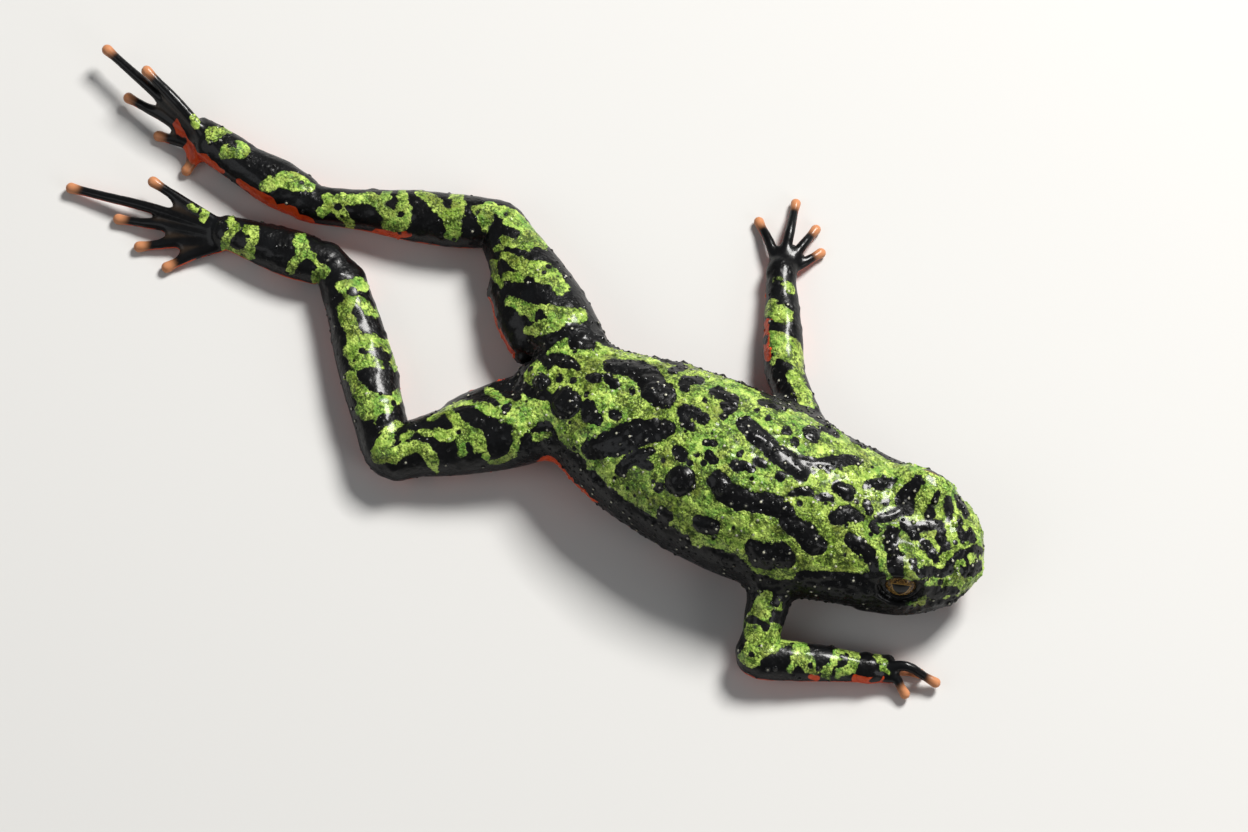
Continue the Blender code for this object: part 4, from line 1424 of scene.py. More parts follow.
class NodeBench:
    """Makes nodes in one tree, for materials and Geometry Nodes alike."""

    def __init__(self, tree: bpy.types.NodeTree) -> None:
        """Keeps the tree."""
        self.tree = tree

    def node(
        self, kind: str, settings: dict[str, object] | None = None, values: dict[str | int, Value] | None = None
    ) -> bpy.types.Node:
        """Adds a node.

        Args:
            kind: The node's type.
            settings: Its own settings, set first.
            values: The values or links of its inputs, by name or number.

        Returns:
            The node.
        """
        made = self.tree.nodes.new(kind)
        for name, setting in (settings or {}).items():
            setattr(made, name, setting)
        for key, value in (values or {}).items():
            if isinstance(value, Socket):
                self.tree.links.new(value.output, made.inputs[key])
            else:
                made.inputs[key].default_value = value
        return made

    def out(
        self,
        kind: str,
        settings: dict[str, object] | None = None,
        values: dict[str | int, Value] | None = None,
        output: str | int = 0,
    ) -> Socket:
        """Adds a node and picks one of its outputs.

        Args:
            kind: The node's type.
            settings: Its own settings, set first.
            values: The values or links of its inputs.
            output: The output's name or number.

        Returns:
            The output.
        """
        return Socket(self, self.node(kind, settings, values).outputs[output])

    def attribute(self, name: str) -> Socket:
        """A number kept at each point of the mesh."""
        return self.out("ShaderNodeAttribute", {"attribute_name": name}, output="Fac")

    def place(self) -> Socket:
        """The place on the piece in millimetres."""
        metres = self.out("ShaderNodeTexCoord", output="Object")
        return self.vector("SCALE", {0: metres, "Scale": 1 / MM})

    def vector(self, operation: str, values: dict[str | int, Value]) -> Socket:
        """A Vector Math node."""
        return self.out("ShaderNodeVectorMath", {"operation": operation}, values)

    def noise(self, place: Socket, scale: float, detail: float = 2.0, rough: float = 0.5) -> Socket:
        """Soft noise about 0.5, with a scale per millimetre."""
        values = {"Vector": place, "Scale": scale, "Detail": detail, "Roughness": rough}
        return self.out("ShaderNodeTexNoise", None, values, "Fac")

    def cells(self, place: Socket, scale: float, output: str = "Distance", smooth: float | None = None) -> Socket:
        """Distance from the middles of scattered cells, or each cell's own colour.

        Args:
            place: The place on the piece.
            scale: Cells to a millimetre.
            output: Which output to use.
            smooth: How far the cells melt into each other, or None for sharp ones.

        Returns:
            The output.
        """
        settings = {"feature": "F1" if smooth is None else "SMOOTH_F1"}
        values = {"Vector": place, "Scale": scale}
        if smooth is not None:
            values["Smoothness"] = smooth
        return self.out("ShaderNodeTexVoronoi", settings, values, output)

    def mixed(self, share: Socket | float, first: Socket | tuple, second: Socket | tuple) -> Socket:
        """Two colours mixed: the first at share 0, the second at 1."""
        first, second = (value if isinstance(value, Socket) else (*value, 1) for value in (first, second))
        return self.out("ShaderNodeMix", {"data_type": "RGBA"}, {0: share, 6: first, 7: second}, 2)

    def feed(self, shader: bpy.types.Node, name: str, value: Socket) -> None:
        """Links a value to one of a shader's inputs."""
        self.tree.links.new(value.output, shader.inputs[name])

    def first_of(self, colour: Socket) -> Socket:
        """The red part of a colour, as a number."""
        return self.out("ShaderNodeSeparateColor", None, {"Color": colour}, "Red")


def new_material(name: str) -> tuple[bpy.types.Material, NodeBench, bpy.types.Node]:
    """A material with its bench and its Principled node.

    Args:
        name: The material's name.

    Returns:
        The three of them.
    """
    material = bpy.data.materials.new(name)
    material.use_nodes = True
    bench = NodeBench(material.node_tree)
    return material, bench, material.node_tree.nodes["Principled BSDF"]


Colour = tuple[float, float, float]


@dataclass(frozen=True)
class SkinFinish:
    """Wet toad skin: granular green, black blotches with a painted slate sheen, an orange underside painted deeper
    as shade where it faces up, and pale spine tips that are partly painted glints.
    """

    deep_green: Colour = (0.022, 0.042, 0.004)
    mid_green: Colour = (0.17, 0.28, 0.03)
    yellow_green: Colour = (0.56, 0.73, 0.15)
    emerald: Colour = (0.10, 0.32, 0.05)
    olive: Colour = (0.13, 0.13, 0.02)
    black: Colour = (0.0022, 0.0022, 0.0024)
    # Painted sheen: a slate mixed into the black at random
    slate_sheen: Colour = (0.005, 0.0054, 0.006)
    orange: Colour = (0.68, 0.085, 0.012)
    # A deeper orange, in random patches and as painted shade where the orange faces up
    deep_orange_and_shade: Colour = (0.42, 0.032, 0.008)
    tip_orange: Colour = (0.52, 0.22, 0.10)
    web_brown: Colour = (0.03, 0.02, 0.013)
    # Pale tips of the tubercles, partly their own colour and partly a painted glint
    pale: Colour = (0.50, 0.49, 0.38)
    film: tuple[float, float] = (0.06, 0.25)
    coat_roughness: float = 0.15
    roughness: float = 0.34
    specular: float = 0.12
    bump_strength: float = 0.8
    bump_depth: float = 0.12

    def material(self) -> bpy.types.Material:
        """Builds the material.

        Returns:
            The material.
        """
        made, bench, shader = new_material("wet_skin")
        place = bench.place()
        drift = bench.out("ShaderNodeTexNoise", None, {"Vector": place, "Scale": 2.2, "Detail": 2.0}, "Color")
        drift = bench.vector("SCALE", {0: drift, "Scale": 0.5})
        warped = bench.vector("ADD", {0: place, 1: drift})
        grain = bench.cells(warped, 3.6, smooth=0.5)
        fine = bench.noise(place, 6.0, 4.0, 0.7)
        colour = self.green_ground(bench, place, grain, fine)
        # The black, with a painted slate sheen mixed in at random
        black = bench.mixed(bench.noise(place, 0.55, 3.0).step(0.35, 0.75), self.black, self.slate_sheen)
        green = self.green_cover(bench, place)
        colour = bench.mixed(green, black, colour)
        colour = bench.mixed(bench.attribute("web"), colour, self.web_brown)
        colour = self.orange_over(bench, place, colour)
        colour = bench.mixed(bench.attribute("tips"), colour, self.tip_orange)
        # Pale on the tubercles' peaks: partly their own pale tips, partly a painted glint
        peak = bench.attribute("peak").step(0.6, 0.95) * bench.attribute("pale").step(0.7, 1.0)
        colour = bench.mixed(peak, colour, self.pale)
        bench.feed(shader, "Base Color", colour)
        bench.feed(shader, "Roughness", self.roughness - green * 0.04 + (fine - 0.5) * 0.2)
        thin, thick = self.film
        bench.feed(shader, "Coat Weight", thin + bench.attribute("wet") * (thick - thin))
        shader.inputs["Coat Roughness"].default_value = self.coat_roughness
        shader.inputs["Specular IOR Level"].default_value = self.specular
        self.relief(bench, shader, place, grain, green)
        return made

    def green_ground(self, bench: NodeBench, place: Socket, grain: Socket, fine: Socket) -> Socket:
        """The granular green, from emerald to yellow-green, with olive patches.

        Args:
            bench: Where the nodes are made.
            place: The place on the piece.
            grain: The granules' cells.
            fine: The finest grain.

        Returns:
            The colour.
        """
        drift = bench.noise(place, 0.16, 2.0).step(0.38, 0.62)
        ground = bench.mixed(drift * 0.6, self.mid_green, self.emerald)
        bright = bench.noise(place, 1.0, 5.0, 0.75).step(0.38, 0.66)
        ground = bench.mixed(bright, ground, self.yellow_green)
        dull = bench.noise(place, 0.42, 3.0, 0.6).step(0.52, 0.66)
        ground = bench.mixed(dull * 0.6, ground, self.olive)
        pits = (grain * 0.7 + (fine - 0.5) * 1.6 + (bench.noise(place, 0.8, 2.0) - 0.5) * 1.2).step(0.18, 0.62)
        return bench.mixed(pits * 0.9, ground, self.deep_green)

    def green_cover(self, bench: NodeBench, place: Socket) -> Socket:
        """Where the skin is green: 1 inside the border, which is a little ragged, apart from small specks.

        Args:
            bench: Where the nodes are made.
            place: The place on the piece.

        Returns:
            The cover from 0 to 1.
        """
        border = bench.attribute("green")
        border = border + (bench.noise(place, 0.9, 2.0) - 0.5) * (0.6 + bench.attribute("limb") * 0.45)
        border = border + (bench.noise(place, 2.6, 3.0, 0.6) - 0.5) * 0.45
        cover = border.step(-0.06, 0.06)
        size = bench.first_of(bench.cells(place, 0.85, "Color")) * 0.5 - 0.2
        speck = (bench.cells(place, 0.85) - size).step(0.05, -0.05)
        return cover * (1.0 - speck)

    def orange_over(self, bench: NodeBench, place: Socket, colour: Socket) -> Socket:
        """The orange underside with its black mottling, laid over the rest, and turned deeper as painted shade
        where the skin faces up.

        Args:
            bench: Where the nodes are made.
            place: The place on the piece.
            colour: The colour so far.

        Returns:
            The new colour.
        """
        border = bench.attribute("orange") + (bench.noise(place, 0.3, 2.0) - 0.5) * 2.2
        border = border + (bench.noise(place, 1.2, 2.0) - 0.5) * 0.7
        cover = border.step(-0.08, 0.08)
        edge = bench.attribute("edge")
        # Painted shade: the orange deepens where the skin faces up, and also in random patches
        deep_and_shaded = bench.noise(place, 1.2, 2.0).step(0.4, 0.7).above(edge * 0.5)
        orange = bench.mixed(deep_and_shaded, self.orange, self.deep_orange_and_shade)
        mottle = (bench.noise(place, 0.33, 2.0, 0.45) - edge * 0.07).step(0.53, 0.56)
        belly = bench.mixed(mottle, orange, self.black)
        return bench.mixed(cover, colour, belly)

    def relief(
        self, bench: NodeBench, shader: bpy.types.Node, place: Socket, grain: Socket, green: Socket
    ) -> None:
        """Granules, finest grain and pores as bumps.

        Args:
            bench: Where the nodes are made.
            shader: The shader to bump.
            place: The place on the piece.
            grain: The granules' cells.
            green: Where the skin is green.
        """
        rough = bench.attribute("rough")
        height = (1.0 - grain) * (0.25 + green * 0.75)
        lumps = bench.cells(place, 1.4, smooth=0.4).step(0.5, 0.1)
        height = height + lumps * 0.5
        height = height + bench.noise(place, 7.0, 4.0, 0.65) * (0.1 + green * 0.5)
        values = {"Height": height * rough, "Strength": self.bump_strength, "Distance": self.bump_depth * MM}
        bench.feed(shader, "Normal", bench.out("ShaderNodeBump", None, values))


@dataclass(frozen=True)
class EyeFinish:
    """A wet eye: a bronze iris with dark flecks round a three-cornered pupil."""

    bronze: Colour = (0.13, 0.065, 0.016)
    gold: Colour = (0.36, 0.21, 0.05)
    brown: Colour = (0.03, 0.015, 0.006)
    black: Colour = (0.003, 0.003, 0.003)
    pupil: float = 0.56
    iris: float = 1.5
    coat: float = 0.3
    coat_roughness: float = 0.02
    roughness: float = 0.28
    specular: float = 0.1

    def material(self) -> bpy.types.Material:
        """Builds the material.

        Returns:
            The material.
        """
        made, bench, shader = new_material("wet_eye")
        along, across = bench.attribute("eye_along"), bench.attribute("eye_across")
        place = bench.place()
        ragged = (bench.noise(place, 5.0, 2.0) - 0.5) * 0.12
        round_edge = (along * along + across * across).math("SQRT")
        low, high = -0.5, math.sqrt(3) / 2
        wide = along * 0.82
        corner = across.above(across * low + wide * high).above(across * low - wide * high)
        reach = corner * 0.7 + round_edge * 0.3 + ragged * 0.5
        pupil = reach.step(self.pupil + 0.03, self.pupil - 0.03)
        flecks = bench.noise(place, 4.2, 3.0, 0.7)
        iris = bench.mixed(flecks.step(0.42, 0.62), self.brown, self.bronze)
        iris = bench.mixed(bench.noise(place, 8.0, 2.0).step(0.52, 0.66), iris, self.gold)
        ring = (reach - self.pupil).step(0.1, 0.04) * (0.45 + flecks.step(0.35, 0.6) * 0.4)
        iris = bench.mixed(ring, iris, self.gold)
        rim = (round_edge + ragged).step(self.iris - 0.14, self.iris + 0.05)
        colour = bench.mixed(rim, iris, self.brown)
        colour = bench.mixed((round_edge + ragged).step(self.iris + 0.05, self.iris + 0.3), colour, self.black)
        colour = bench.mixed(pupil, colour, self.black)
        bench.feed(shader, "Base Color", colour)
        bench.feed(shader, "Roughness", self.roughness + flecks * 0.15)
        shader.inputs["Coat Weight"].default_value = self.coat
        shader.inputs["Coat Roughness"].default_value = self.coat_roughness
        shader.inputs["Specular IOR Level"].default_value = self.specular
        return made


@dataclass(frozen=True)
class FloorFinish:
    """A plain, pale, matt floor."""

    shade: Colour = (0.6, 0.595, 0.58)
    roughness: float = 0.8

    def material(self) -> bpy.types.Material:
        """Builds the material.

        Returns:
            The material.
        """
        made, bench, shader = new_material("pale_floor")
        drift = bench.noise(bench.place(), 0.004, 2.0)
        darker = tuple(0.96 * part for part in self.shade)
        colour = bench.mixed(drift, self.shade, darker)
        bench.feed(shader, "Base Color", colour)
        shader.inputs["Roughness"].default_value = self.roughness
        return made


def new_mesh(name: str, bm: bmesh.types.BMesh) -> bpy.types.Mesh:
    """A mesh with what was drawn, which is freed.

    Args:
        name: Its name.
        bm: What was drawn.

    Returns:
        The mesh.
    """
    mesh = bpy.data.meshes.new(name)
    bm.to_mesh(mesh)
    bm.free()
    return mesh


def new_object(name: str, mesh: bpy.types.Mesh) -> bpy.types.Object:
    """A linked object at the origin.

    Args:
        name: Its name.
        mesh: Its mesh.

    Returns:
        The object.
    """
    made = bpy.data.objects.new(name, mesh)
    bpy.context.scene.collection.objects.link(made)
    return made


def bake(item: bpy.types.Object) -> None:
    """Turns an object's modifiers into its mesh.

    Args:
        item: The object to bake.
    """
    graph = bpy.context.evaluated_depsgraph_get()
    baked = bpy.data.meshes.new_from_object(item.evaluated_get(graph))
    item.modifiers.clear()
    old, item.data = item.data, baked
    bpy.data.meshes.remove(old)


def read_points(mesh: bpy.types.Mesh, name: str = "co") -> np.ndarray:
    """The places or normals of a mesh's points, places in millimetres.

    Args:
        mesh: The mesh.
        name: "co" for places or "normal" for normals.

    Returns:
        One row for each point.
    """
    found = np.empty(len(mesh.vertices) * 3)
    mesh.vertices.foreach_get(name, found)
    return found.reshape(-1, 3) / (MM if name == "co" else 1)


def write_points(mesh: bpy.types.Mesh, points: np.ndarray) -> None:
    """Puts a mesh's points at places in millimetres."""
    mesh.vertices.foreach_set("co", (points * MM).ravel())
    mesh.update()


def add_attribute(mesh: bpy.types.Mesh, name: str, values: np.ndarray) -> None:
    """Keeps a number at each point of a mesh."""
    attribute = mesh.attributes.new(name, "FLOAT", "POINT")
    attribute.data.foreach_set("value", values.astype(np.float32))


class Skin:
    """The one skin over all the flesh, with its relief and its markings."""

    settle_probe = 0.05
    gather_probe = 0.03

    def __init__(self, sizes: SkinSizes, shift: np.ndarray) -> None:
        """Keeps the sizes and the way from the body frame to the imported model's.

        Args:
            sizes: How fine the mesh is, and the relief.
            shift: What to take from a body frame place, in millimetres.
        """
        self.sizes = sizes
        self.shift = shift
        self.flesh = Flesh()
        self.item = self.drawn()

    def drawn(self) -> bpy.types.Object:
        """The smooth skin, settled onto the flesh.

        Returns:
            The skin's object, in the body frame.
        """
        bm = bmesh.new()
        self.flesh.draw(bm)
        bmesh.ops.scale(bm, vec=(MM, MM, MM), verts=bm.verts)
        bmesh.ops.recalc_face_normals(bm, faces=bm.faces)
        item = new_object("toad_skin", new_mesh("toad_skin", bm))
        voxel = self.sizes.voxel * MM
        self.modified(item, "REMESH", mode="VOXEL", voxel_size=self.sizes.first_coarser * voxel)
        self.settle(item, 2)
        self.gather(item, 4)
        self.modified(item, "REMESH", mode="VOXEL", voxel_size=voxel)
        self.keep_largest(item)
        self.settle(item, 2)
        self.modified(item, "SMOOTH", iterations=2, factor=0.5)
        self.settle(item, 1)
        self.gather(item, 3)
        return item

    @staticmethod
    def modified(item: bpy.types.Object, kind: str, **settings: str | int | float) -> None:
        """Puts a mesh through one modifier.

        Args:
            item: The mesh's object.
            kind: The modifier's type.
            settings: The modifier's own settings.
        """
        modifier = item.modifiers.new(kind, kind)
        for name, value in settings.items():
            setattr(modifier, name, value)
        bake(item)

    @staticmethod
    def keep_largest(item: bpy.types.Object) -> None:
        """Drops every separate crumb of a mesh, such as a closed hollow.

        Args:
            item: The mesh's object.
        """
        bm = bmesh.new()
        bm.from_mesh(item.data)
        left = set(bm.verts)
        parts = []
        while left:
            part, edge = set(), {left.pop()}
            while edge:
                part |= edge
                edge = {link.other_vert(vert) for vert in edge for link in vert.link_edges} - part
            left -= part
            parts.append(part)
        parts.sort(key=len)
        LOG.info("skin in %d parts, the largest of %d points", len(parts), len(parts[-1]))
        bmesh.ops.delete(bm, geom=[vert for part in parts[:-1] for vert in part], context="VERTS")
        bm.to_mesh(item.data)
        bm.free()

    def settle(self, item: bpy.types.Object, rounds: int) -> None:
        """Moves each point along its normal onto the flesh.

        Args:
            item: The mesh's object.
            rounds: How many times.
        """
        for _ in range(rounds):
            points, normals = read_points(item.data), read_points(item.data, "normal")
            gaps = self.flesh.distance(points)
            probed = self.flesh.distance(points + normals * self.settle_probe)
            slopes = (probed - gaps) / self.settle_probe
            steps = np.clip(gaps / np.maximum(slopes, 0.6), -0.5, 0.5)
            write_points(item.data, points - normals * steps[:, None])

    def gather(self, item: bpy.types.Object, rounds: int) -> None:
        """Brings points that settling left behind down the steepest way onto the flesh.

        Args:
            item: The mesh's object.
            rounds: How many times.
        """
        points = read_points(item.data)
        for _ in range(rounds):
            gaps = self.flesh.distance(points)
            stray = np.flatnonzero(np.abs(gaps) > 0.06)
            if not len(stray):
                break
            slope = np.empty((len(stray), 3))
            for axis in range(3):
                push = self.gather_probe * np.eye(3)[axis]
                slope[:, axis] = self.flesh.distance(points[stray] + push) - gaps[stray]
            slope /= self.gather_probe
            scale = np.maximum((slope**2).sum(axis=1), 0.2)
            step = np.clip(gaps[stray] / scale, -0.4, 0.4)
            points[stray] -= slope * step[:, None]
        LOG.info("%d points were gathered last", len(stray))
        write_points(item.data, points)

    def dress(self) -> bpy.types.Object:
        """Marks the skin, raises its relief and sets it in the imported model's frame.

        Returns:
            The finished skin.
        """
        mesh = self.item.data
        points, normals = read_points(mesh), read_points(mesh, "normal")
        canvas = Canvas(points, [tuple(face.vertices) for face in mesh.polygons])
        marks = Markings(canvas, normals, self.flesh)
        points = points + normals * self.relief(canvas, normals, marks)[:, None]
        points[:, 2] = np.maximum(points[:, 2], self.sizes.floor_gap)
        kept = {
            "green": marks.green,
            "orange": marks.orange,
            # 1 where the skin doesn't face down: painted shade deepens the orange there, and its mottling thins
            "edge": np.clip((normals[:, 2] + 0.35) * 4, 0, 1),
            "tips": marks.tips,
            "web": marks.web,
            "wet": eased(normals[:, 2], 0.1, 0.7),
            "limb": eased(-canvas.inside(GREEN_BACK), 0.5, 2.0),
            "spiny": self.spiny(points, normals, marks),
            "rough": 0.35 + 0.65 * self.calm(points, normals, marks),
        }
        for name, values in kept.items():
            add_attribute(mesh, name, values)
        write_points(mesh, points - self.shift)
        mesh.shade_smooth()
        return self.item

    def relief(self, canvas: Canvas, normals: np.ndarray, marks: Markings) -> np.ndarray:
        """How far each point stands out from the flesh.

        Args:
            canvas: The skin's points.
            normals: Their normals.
            marks: The colours' borders.

        Returns:
            The rise of each point.
        """
        calm = self.calm(canvas.points, normals, marks)
        trunk = eased(canvas.inside(GREEN_BACK), -2.0, 0.5)
        rise = self.sizes.blotch_rise * eased(-marks.green, 0.0, self.sizes.blotch_slope) * trunk
        rise = rise + self.large_warts(canvas) + self.small_warts(canvas, calm)
        return rise * calm + self.folds(canvas.points) * calm

    @staticmethod
    def large_warts(canvas: Canvas) -> np.ndarray:
        """The rise of the single warts that stand out.

        Args:
            canvas: The skin's points.

        Returns:
            The rise of each point.
        """
        found = np.zeros(len(canvas.points))
        for across, down, radius, height in LARGE_WARTS:
            gap = np.linalg.norm(canvas.points - canvas.land(across, down), axis=1)
            gap = gap / (radius * VIEW.pixel_size())
            found = np.maximum(found, height * np.sqrt(np.clip(1 - gap**2, 0, 1)))
        return found

    def calm(self, points: np.ndarray, normals: np.ndarray, marks: Markings) -> np.ndarray:
        """1 on rough skin, falling to 0 where it is smooth: digits, webs, lid edges, mouth and belly.

        Args:
            points: The skin's points.
            normals: Their normals.
            marks: The colours' borders.

        Returns:
            The roughness of each point.
        """
        sizes = self.sizes
        found = eased(normals[:, 2], *sizes.belly_fade) * eased(points[:, 2], *sizes.floor_fade)
        found = found * eased(marks.digit_gap, *sizes.digit_fade) * (1 - marks.web)
        for side in Side:
            found = found * eased(LidOpening(Gaze(side)).distance(points), *sizes.lid_fade)
        return found * eased(self.flesh.mouth.distance(points), *sizes.mouth_fade)

    def small_warts(self, canvas: Canvas, calm: np.ndarray) -> np.ndarray:
        """The rise of many small warts, scattered over the rough skin and thickest on the trunk.

        Args:
            canvas: The skin's points.
            calm: How rough the skin is at each.

        Returns:
            The rise of each point.
        """
        points = canvas.points
        trunk = eased(canvas.inside(GREEN_BACK), -4.5, -0.5)
        dice = np.random.default_rng(SEED)
        tree = KDTree(len(points))
        for index, point in enumerate(points):
            tree.insert(point, index)
        tree.balance()
        found = np.zeros(len(points))
        placed = 0
        for index in dice.permutation(np.flatnonzero(calm > 0.5)):
            if placed == self.sizes.wart_count:
                break
            if dice.random() > 0.2 + 0.8 * trunk[index]:
                continue
            radius = dice.uniform(*self.sizes.wart_radius)
            height = dice.uniform(*self.sizes.wart_rise) * radius / self.sizes.wart_radius[1]
            height *= 0.5 + 0.5 * trunk[index]
            near = tree.find_range(points[index], radius)
            numbers = np.array([number for _, number, _ in near])
            if found[numbers].max() > 0.02:
                continue
            gaps = np.array([gap for _, _, gap in near]) / radius
            found[numbers] = np.maximum(found[numbers], height * (1 - gaps**2) ** 1.5)
            placed += 1
        return found

    def folds(self, points: np.ndarray) -> np.ndarray:
        """Shallow creases and swells of loose skin.

        Args:
            points: The skin's points.

        Returns:
            The rise of each point.
        """
        x, y, z = points.T
        wave = np.sin(x * 0.9 + 1.3 * np.sin(y * 0.5 + z * 0.4))
        wave = wave * np.sin(y * 0.8 + 1.1 * np.sin(x * 0.45))
        ripple = np.sin(x * 2.3 + 1.7 * np.sin(y * 1.3)) * np.sin(y * 2.1 + z * 1.9 + 1.4 * np.sin(x * 1.1))
        return self.sizes.fold_rise * wave + self.sizes.ripple_rise * ripple

    def spiny(self, points: np.ndarray, normals: np.ndarray, marks: Markings) -> np.ndarray:
        """How thickly the tubercles stand at each point, from 0 to 1."""
        trunk = eased(marks.canvas.inside(GREEN_BACK), -4.0, -1.0)
        return self.calm(points, normals, marks) * (0.18 + 0.82 * trunk)


@dataclass(frozen=True)
class TubercleSizes:
    """The tubercles that stand on the skin, in millimetres, and the most of them to a square metre."""

    spacing: float = 0.62
    radius: float = 0.13
    smallest: float = 0.5
    largest: float = 1.4
    thickest: float = 6.0e6
    seed: int = 11


class Tubercles:
    """Small tubercles set over the skin by Geometry Nodes, with pale tips that are partly their own colour and
    partly painted glints.
    """

    def __init__(self, sizes: TubercleSizes) -> None:
        """Keeps the sizes."""
        self.sizes = sizes

    def tree(self) -> bpy.types.GeometryNodeTree:
        """The node tree, with a named input for each size.

        Returns:
            The tree.
        """
        tree = bpy.data.node_groups.new("Tubercles", "GeometryNodeTree")
        tree.is_modifier = True
        tree.interface.new_socket("Geometry", in_out="INPUT", socket_type="NodeSocketGeometry")
        for name in ("Spacing", "Radius", "Smallest", "Largest"):
            tree.interface.new_socket(name, in_out="INPUT", socket_type="NodeSocketFloat")
        tree.interface.new_socket("Seed", in_out="INPUT", socket_type="NodeSocketInt")
        tree.interface.new_socket("Material", in_out="INPUT", socket_type="NodeSocketMaterial")
        tree.interface.new_socket("Geometry", in_out="OUTPUT", socket_type="NodeSocketGeometry")
        bench = NodeBench(tree)
        given = bench.node("NodeGroupInput")
        take = {socket.name: Socket(bench, socket) for socket in given.outputs if socket.name}
        spiny = bench.out("GeometryNodeInputNamedAttribute", {"data_type": "FLOAT"}, {"Name": "spiny"})
        scatter = bench.node(
            "GeometryNodeDistributePointsOnFaces",
            {"distribute_method": "POISSON"},
            {
                "Mesh": take["Geometry"],
                "Distance Min": take["Spacing"],
                "Density Max": self.sizes.thickest,
                "Density Factor": spiny,
                "Seed": take["Seed"],
            },
        )
        pale = self.random(bench, take["Seed"])
        points = bench.out(
            "GeometryNodeStoreNamedAttribute",
            {"data_type": "FLOAT", "domain": "POINT"},
            {"Geometry": Socket(bench, scatter.outputs["Points"]), "Name": "pale", "Value": pale},
        )
        swell = take["Smallest"] + pale * (take["Largest"] - take["Smallest"])
        placed = bench.out(
            "GeometryNodeInstanceOnPoints",
            None,
            {
                "Points": points,
                "Instance": self.dome(bench),
                "Rotation": Socket(bench, scatter.outputs["Rotation"]),
                "Scale": swell * take["Radius"],
            },
        )
        real = bench.out("GeometryNodeRealizeInstances", None, {"Geometry": placed})
        dressed = bench.out("GeometryNodeSetMaterial", None, {"Geometry": real, "Material": take["Material"]})
        bench.node("NodeGroupOutput", None, {"Geometry": dressed})
        return tree

    @staticmethod
    def random(bench: NodeBench, seed: Socket) -> Socket:
        """A random number from 0 to 1 for each point."""
        values = {2: 0.0, 3: 1.0, "Seed": seed}
        return bench.out("FunctionNodeRandomValue", {"data_type": "FLOAT"}, values, 1)

    @staticmethod
    def dome(bench: NodeBench) -> Socket:
        """One low dome of unit radius, which keeps how near its peak each point is.

        Args:
            bench: Where the nodes are made.

        Returns:
            The dome.
        """
        ball = bench.out("GeometryNodeMeshUVSphere", None, {"Segments": 7, "Rings": 6, "Radius": 1.0})
        parts = bench.node("ShaderNodeSeparateXYZ", None, {0: bench.out("GeometryNodeInputPosition")})
        x, y, height = (Socket(bench, part) for part in parts.outputs)
        marked = bench.out(
            "GeometryNodeStoreNamedAttribute",
            {"data_type": "FLOAT", "domain": "POINT"},
            {"Geometry": ball, "Name": "peak", "Value": height},
        )
        flare = 1.0 + (1.0 - height) * (1.0 - height) * 0.75
        bell = {"X": x * flare, "Y": y * flare, "Z": height * 0.9 - 0.12}
        bell = bench.out("ShaderNodeCombineXYZ", None, bell)
        return bench.out("GeometryNodeSetPosition", None, {"Geometry": marked, "Position": bell})

    def grown(self, skin: bpy.types.Object, material: bpy.types.Material) -> bpy.types.Object:
        """Grows the tubercles on a skin.

        Args:
            skin: The skin's object, with its "spiny" attribute.
            material: What they are made of.

        Returns:
            A plain mesh object of the tubercles alone.
        """
        item = new_object("toad_tubercles", skin.data.copy())
        modifier = item.modifiers.new("Tubercles", "NODES")
        modifier.node_group = self.tree()
        values = {
            "Spacing": self.sizes.spacing * MM,
            "Radius": self.sizes.radius * MM,
            "Smallest": self.sizes.smallest,
            "Largest": self.sizes.largest,
            "Seed": self.sizes.seed,
            "Material": material,
        }
        for socket in modifier.node_group.interface.items_tree:
            if socket.in_out == "INPUT" and socket.name in values:
                modifier[socket.identifier] = values[socket.name]
        bake(item)
        item.data.shade_smooth()
        return item


class Eye:
    """One eyeball with a bulging cornea."""

    def __init__(self, side: Side, shift: np.ndarray) -> None:
        """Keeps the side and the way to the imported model's frame."""
        self.side = side
        self.shift = shift

    def built(self, material: bpy.types.Material) -> bpy.types.Object:
        """The eyeball, with its pole where it looks.

        Args:
            material: The eye's finish.

        Returns:
            The eyeball's object.
        """
        gaze = Gaze(self.side)
        out, ahead, up = gaze.axes()
        bm = bmesh.new()
        bmesh.ops.create_uvsphere(bm, u_segments=64, v_segments=48, radius=1)
        mesh = new_mesh(f"toad_eye_{self.side.name.lower()}", bm)
        unit = read_points(mesh) * MM
        bulge = HEAD.cornea_rise * eased(unit[:, 2], *HEAD.cornea_edge)
        flat = unit * (HEAD.eye_radius + bulge)[:, None]
        add_attribute(mesh, "eye_along", flat[:, 0])
        add_attribute(mesh, "eye_across", np.where(unit[:, 2] > 0, flat[:, 1], 9.0))
        frame = np.stack([ahead, up, out])
        write_points(mesh, gaze.centre() + flat @ frame - self.shift)
        if np.linalg.det(frame) < 0:
            mesh.flip_normals()
        mesh.shade_smooth()
        mesh.materials.append(material)
        return new_object(mesh.name, mesh)


@dataclass(frozen=True)
class Softbox:
    """A square area light: where it stands and what it aims at, in metres, its width and its power."""

    name: str
    place: Point
    width: float
    power: float
    tint: Colour = (1.0, 1.0, 1.0)

    def lit(self) -> None:
        """Adds the light, aimed at the toad."""
        light = bpy.data.lights.new(self.name, "AREA")
        light.size = self.width
        light.energy = self.power
        light.color = self.tint
        item = bpy.data.objects.new(self.name, light)
        item.location = self.place
        item.rotation_euler = Vector(self.place).to_track_quat("Z", "Y").to_euler()
        bpy.context.scene.collection.objects.link(item)


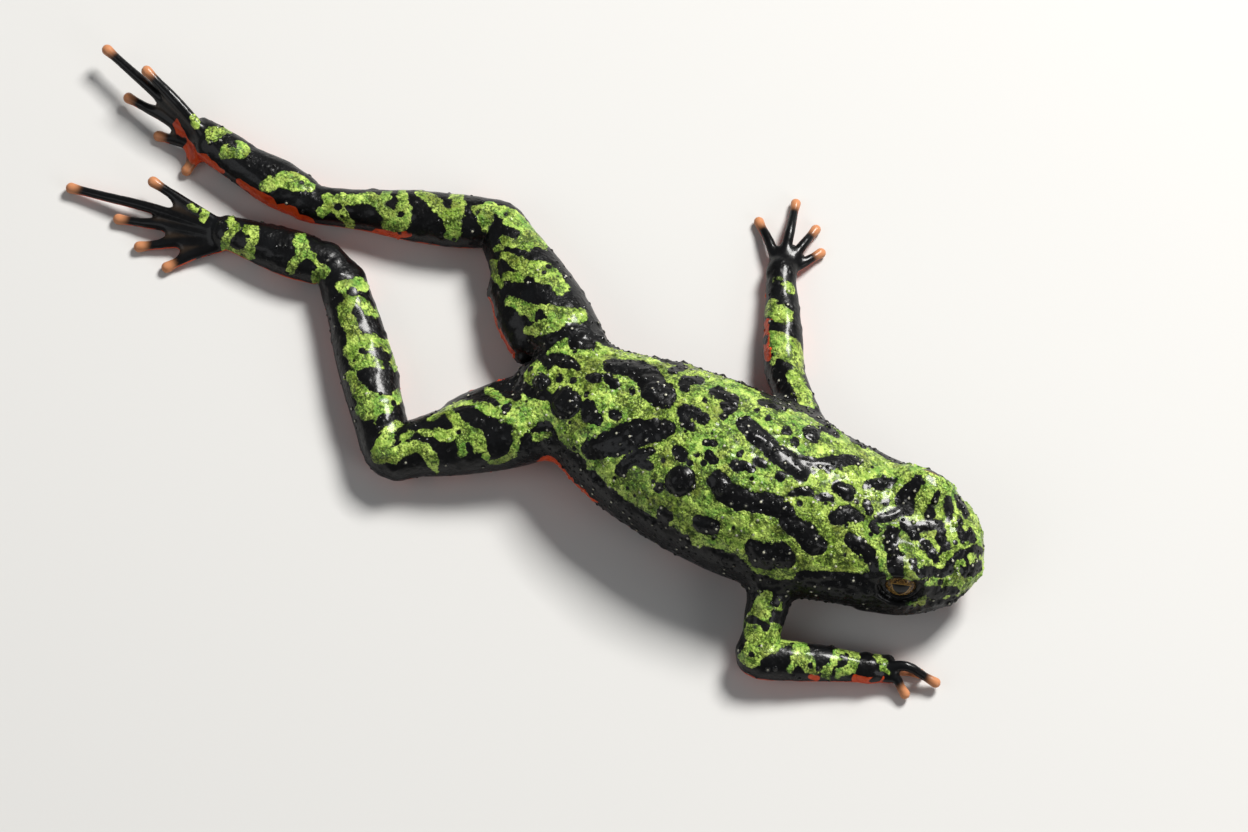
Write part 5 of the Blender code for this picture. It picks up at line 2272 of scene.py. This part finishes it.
class Studio:
    """The pale floor, the soft lights and the camera."""

    floor_half = 3
    sky = (0.93, 0.96, 1.0)
    sky_strength = 0.14
    furthest_seen = 20
    lights = (
        Softbox("key", (0.16, 0.46, 0.54), 0.22, 8.8, (1.0, 0.985, 0.96)),
        Softbox("fill", (-0.45, -0.42, 0.5), 0.5, 0.9, (0.96, 0.98, 1.0)),
        Softbox("rim", (0.6, -0.2, 0.3), 0.3, 0.8),
    )

    def __init__(self, shift: np.ndarray) -> None:
        """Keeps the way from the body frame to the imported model's."""
        self.shift = shift

    def built(self) -> None:
        """Builds the floor, lights and camera."""
        self.floor()
        for light in self.lights:
            light.lit()
        self.surroundings()
        self.camera()

    def floor(self) -> None:
        """A wide, flat floor."""
        bm = bmesh.new()
        bmesh.ops.create_grid(bm, x_segments=8, y_segments=8, size=self.floor_half)
        mesh = new_mesh("floor", bm)
        mesh.materials.append(FloorFinish().material())
        new_object("floor", mesh)

    def surroundings(self) -> None:
        """A dim, even sky, so that no shadow is black."""
        world = bpy.data.worlds.new("surroundings")
        world.use_nodes = True
        background = world.node_tree.nodes["Background"]
        background.inputs["Color"].default_value = (*self.sky, 1)
        background.inputs["Strength"].default_value = self.sky_strength
        bpy.context.scene.world = world
        bpy.context.scene.view_settings.view_transform = "Standard"

    def camera(self) -> None:
        """The camera, where the photograph's stood."""
        camera = bpy.data.cameras.new("camera")
        camera.lens = VIEW.lens
        camera.sensor_width = VIEW.sensor
        camera.clip_end = self.furthest_seen
        item = bpy.data.objects.new("camera", camera)
        place = (VIEW.eye() - self.shift) * MM
        right, up, back = VIEW.axes()
        turn = Matrix((right, up, back)).transposed().to_4x4()
        item.matrix_world = Matrix.Translation(Vector(place)) @ turn
        bpy.context.scene.collection.objects.link(item)
        bpy.context.scene.camera = item


def flesh_nodes(nodes: Iterable[str]) -> list[str]:
    """The nodes that the skin stands for."""
    return sorted(name for name in nodes if not name.startswith("eye_"))


def report(item: bpy.types.Object) -> None:
    """Logs a piece's name and size."""
    triangles = sum(len(face.vertices) - 2 for face in item.data.polygons)
    LOG.info("%s: %d triangles", item.name, triangles)


def body_shift() -> np.ndarray:
    """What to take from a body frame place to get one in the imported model's frame, in millimetres."""
    low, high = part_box("eye_left")
    return Gaze(Side.LEFT).centre() - np.array((low + high) / 2) / MM


def build(nodes: dict[str, bpy.types.Object]) -> Iterator[bpy.types.Object]:
    """Builds the toad's pieces in order.

    Args:
        nodes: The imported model's nodes by name.

    Yields:
        Each finished piece, riding on its body.
    """
    shift = body_shift()
    wet_skin = SkinFinish().material()
    skin = Skin(SKIN, shift).dress()
    skin.data.materials.clear()
    skin.data.materials.append(wet_skin)
    tubercles = Tubercles(TubercleSizes()).grown(skin, wet_skin)
    for item in (skin, tubercles):
        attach(item, "root")
        yield item
    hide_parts(*flesh_nodes(nodes))
    wet_eye = EyeFinish().material()
    for side in Side:
        eye = Eye(side, shift).built(wet_eye)
        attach(eye, "root")
        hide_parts(f"eye_{side.name.lower()}")
        yield eye
    Studio(shift).built()


def main() -> None:
    """Builds everything and logs each piece's name and triangles."""
    logging.basicConfig(level=logging.INFO, format="%(message)s")
    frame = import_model()
    for item in build(frame["nodes"]):
        report(item)


if __name__ == "__main__":
    main()
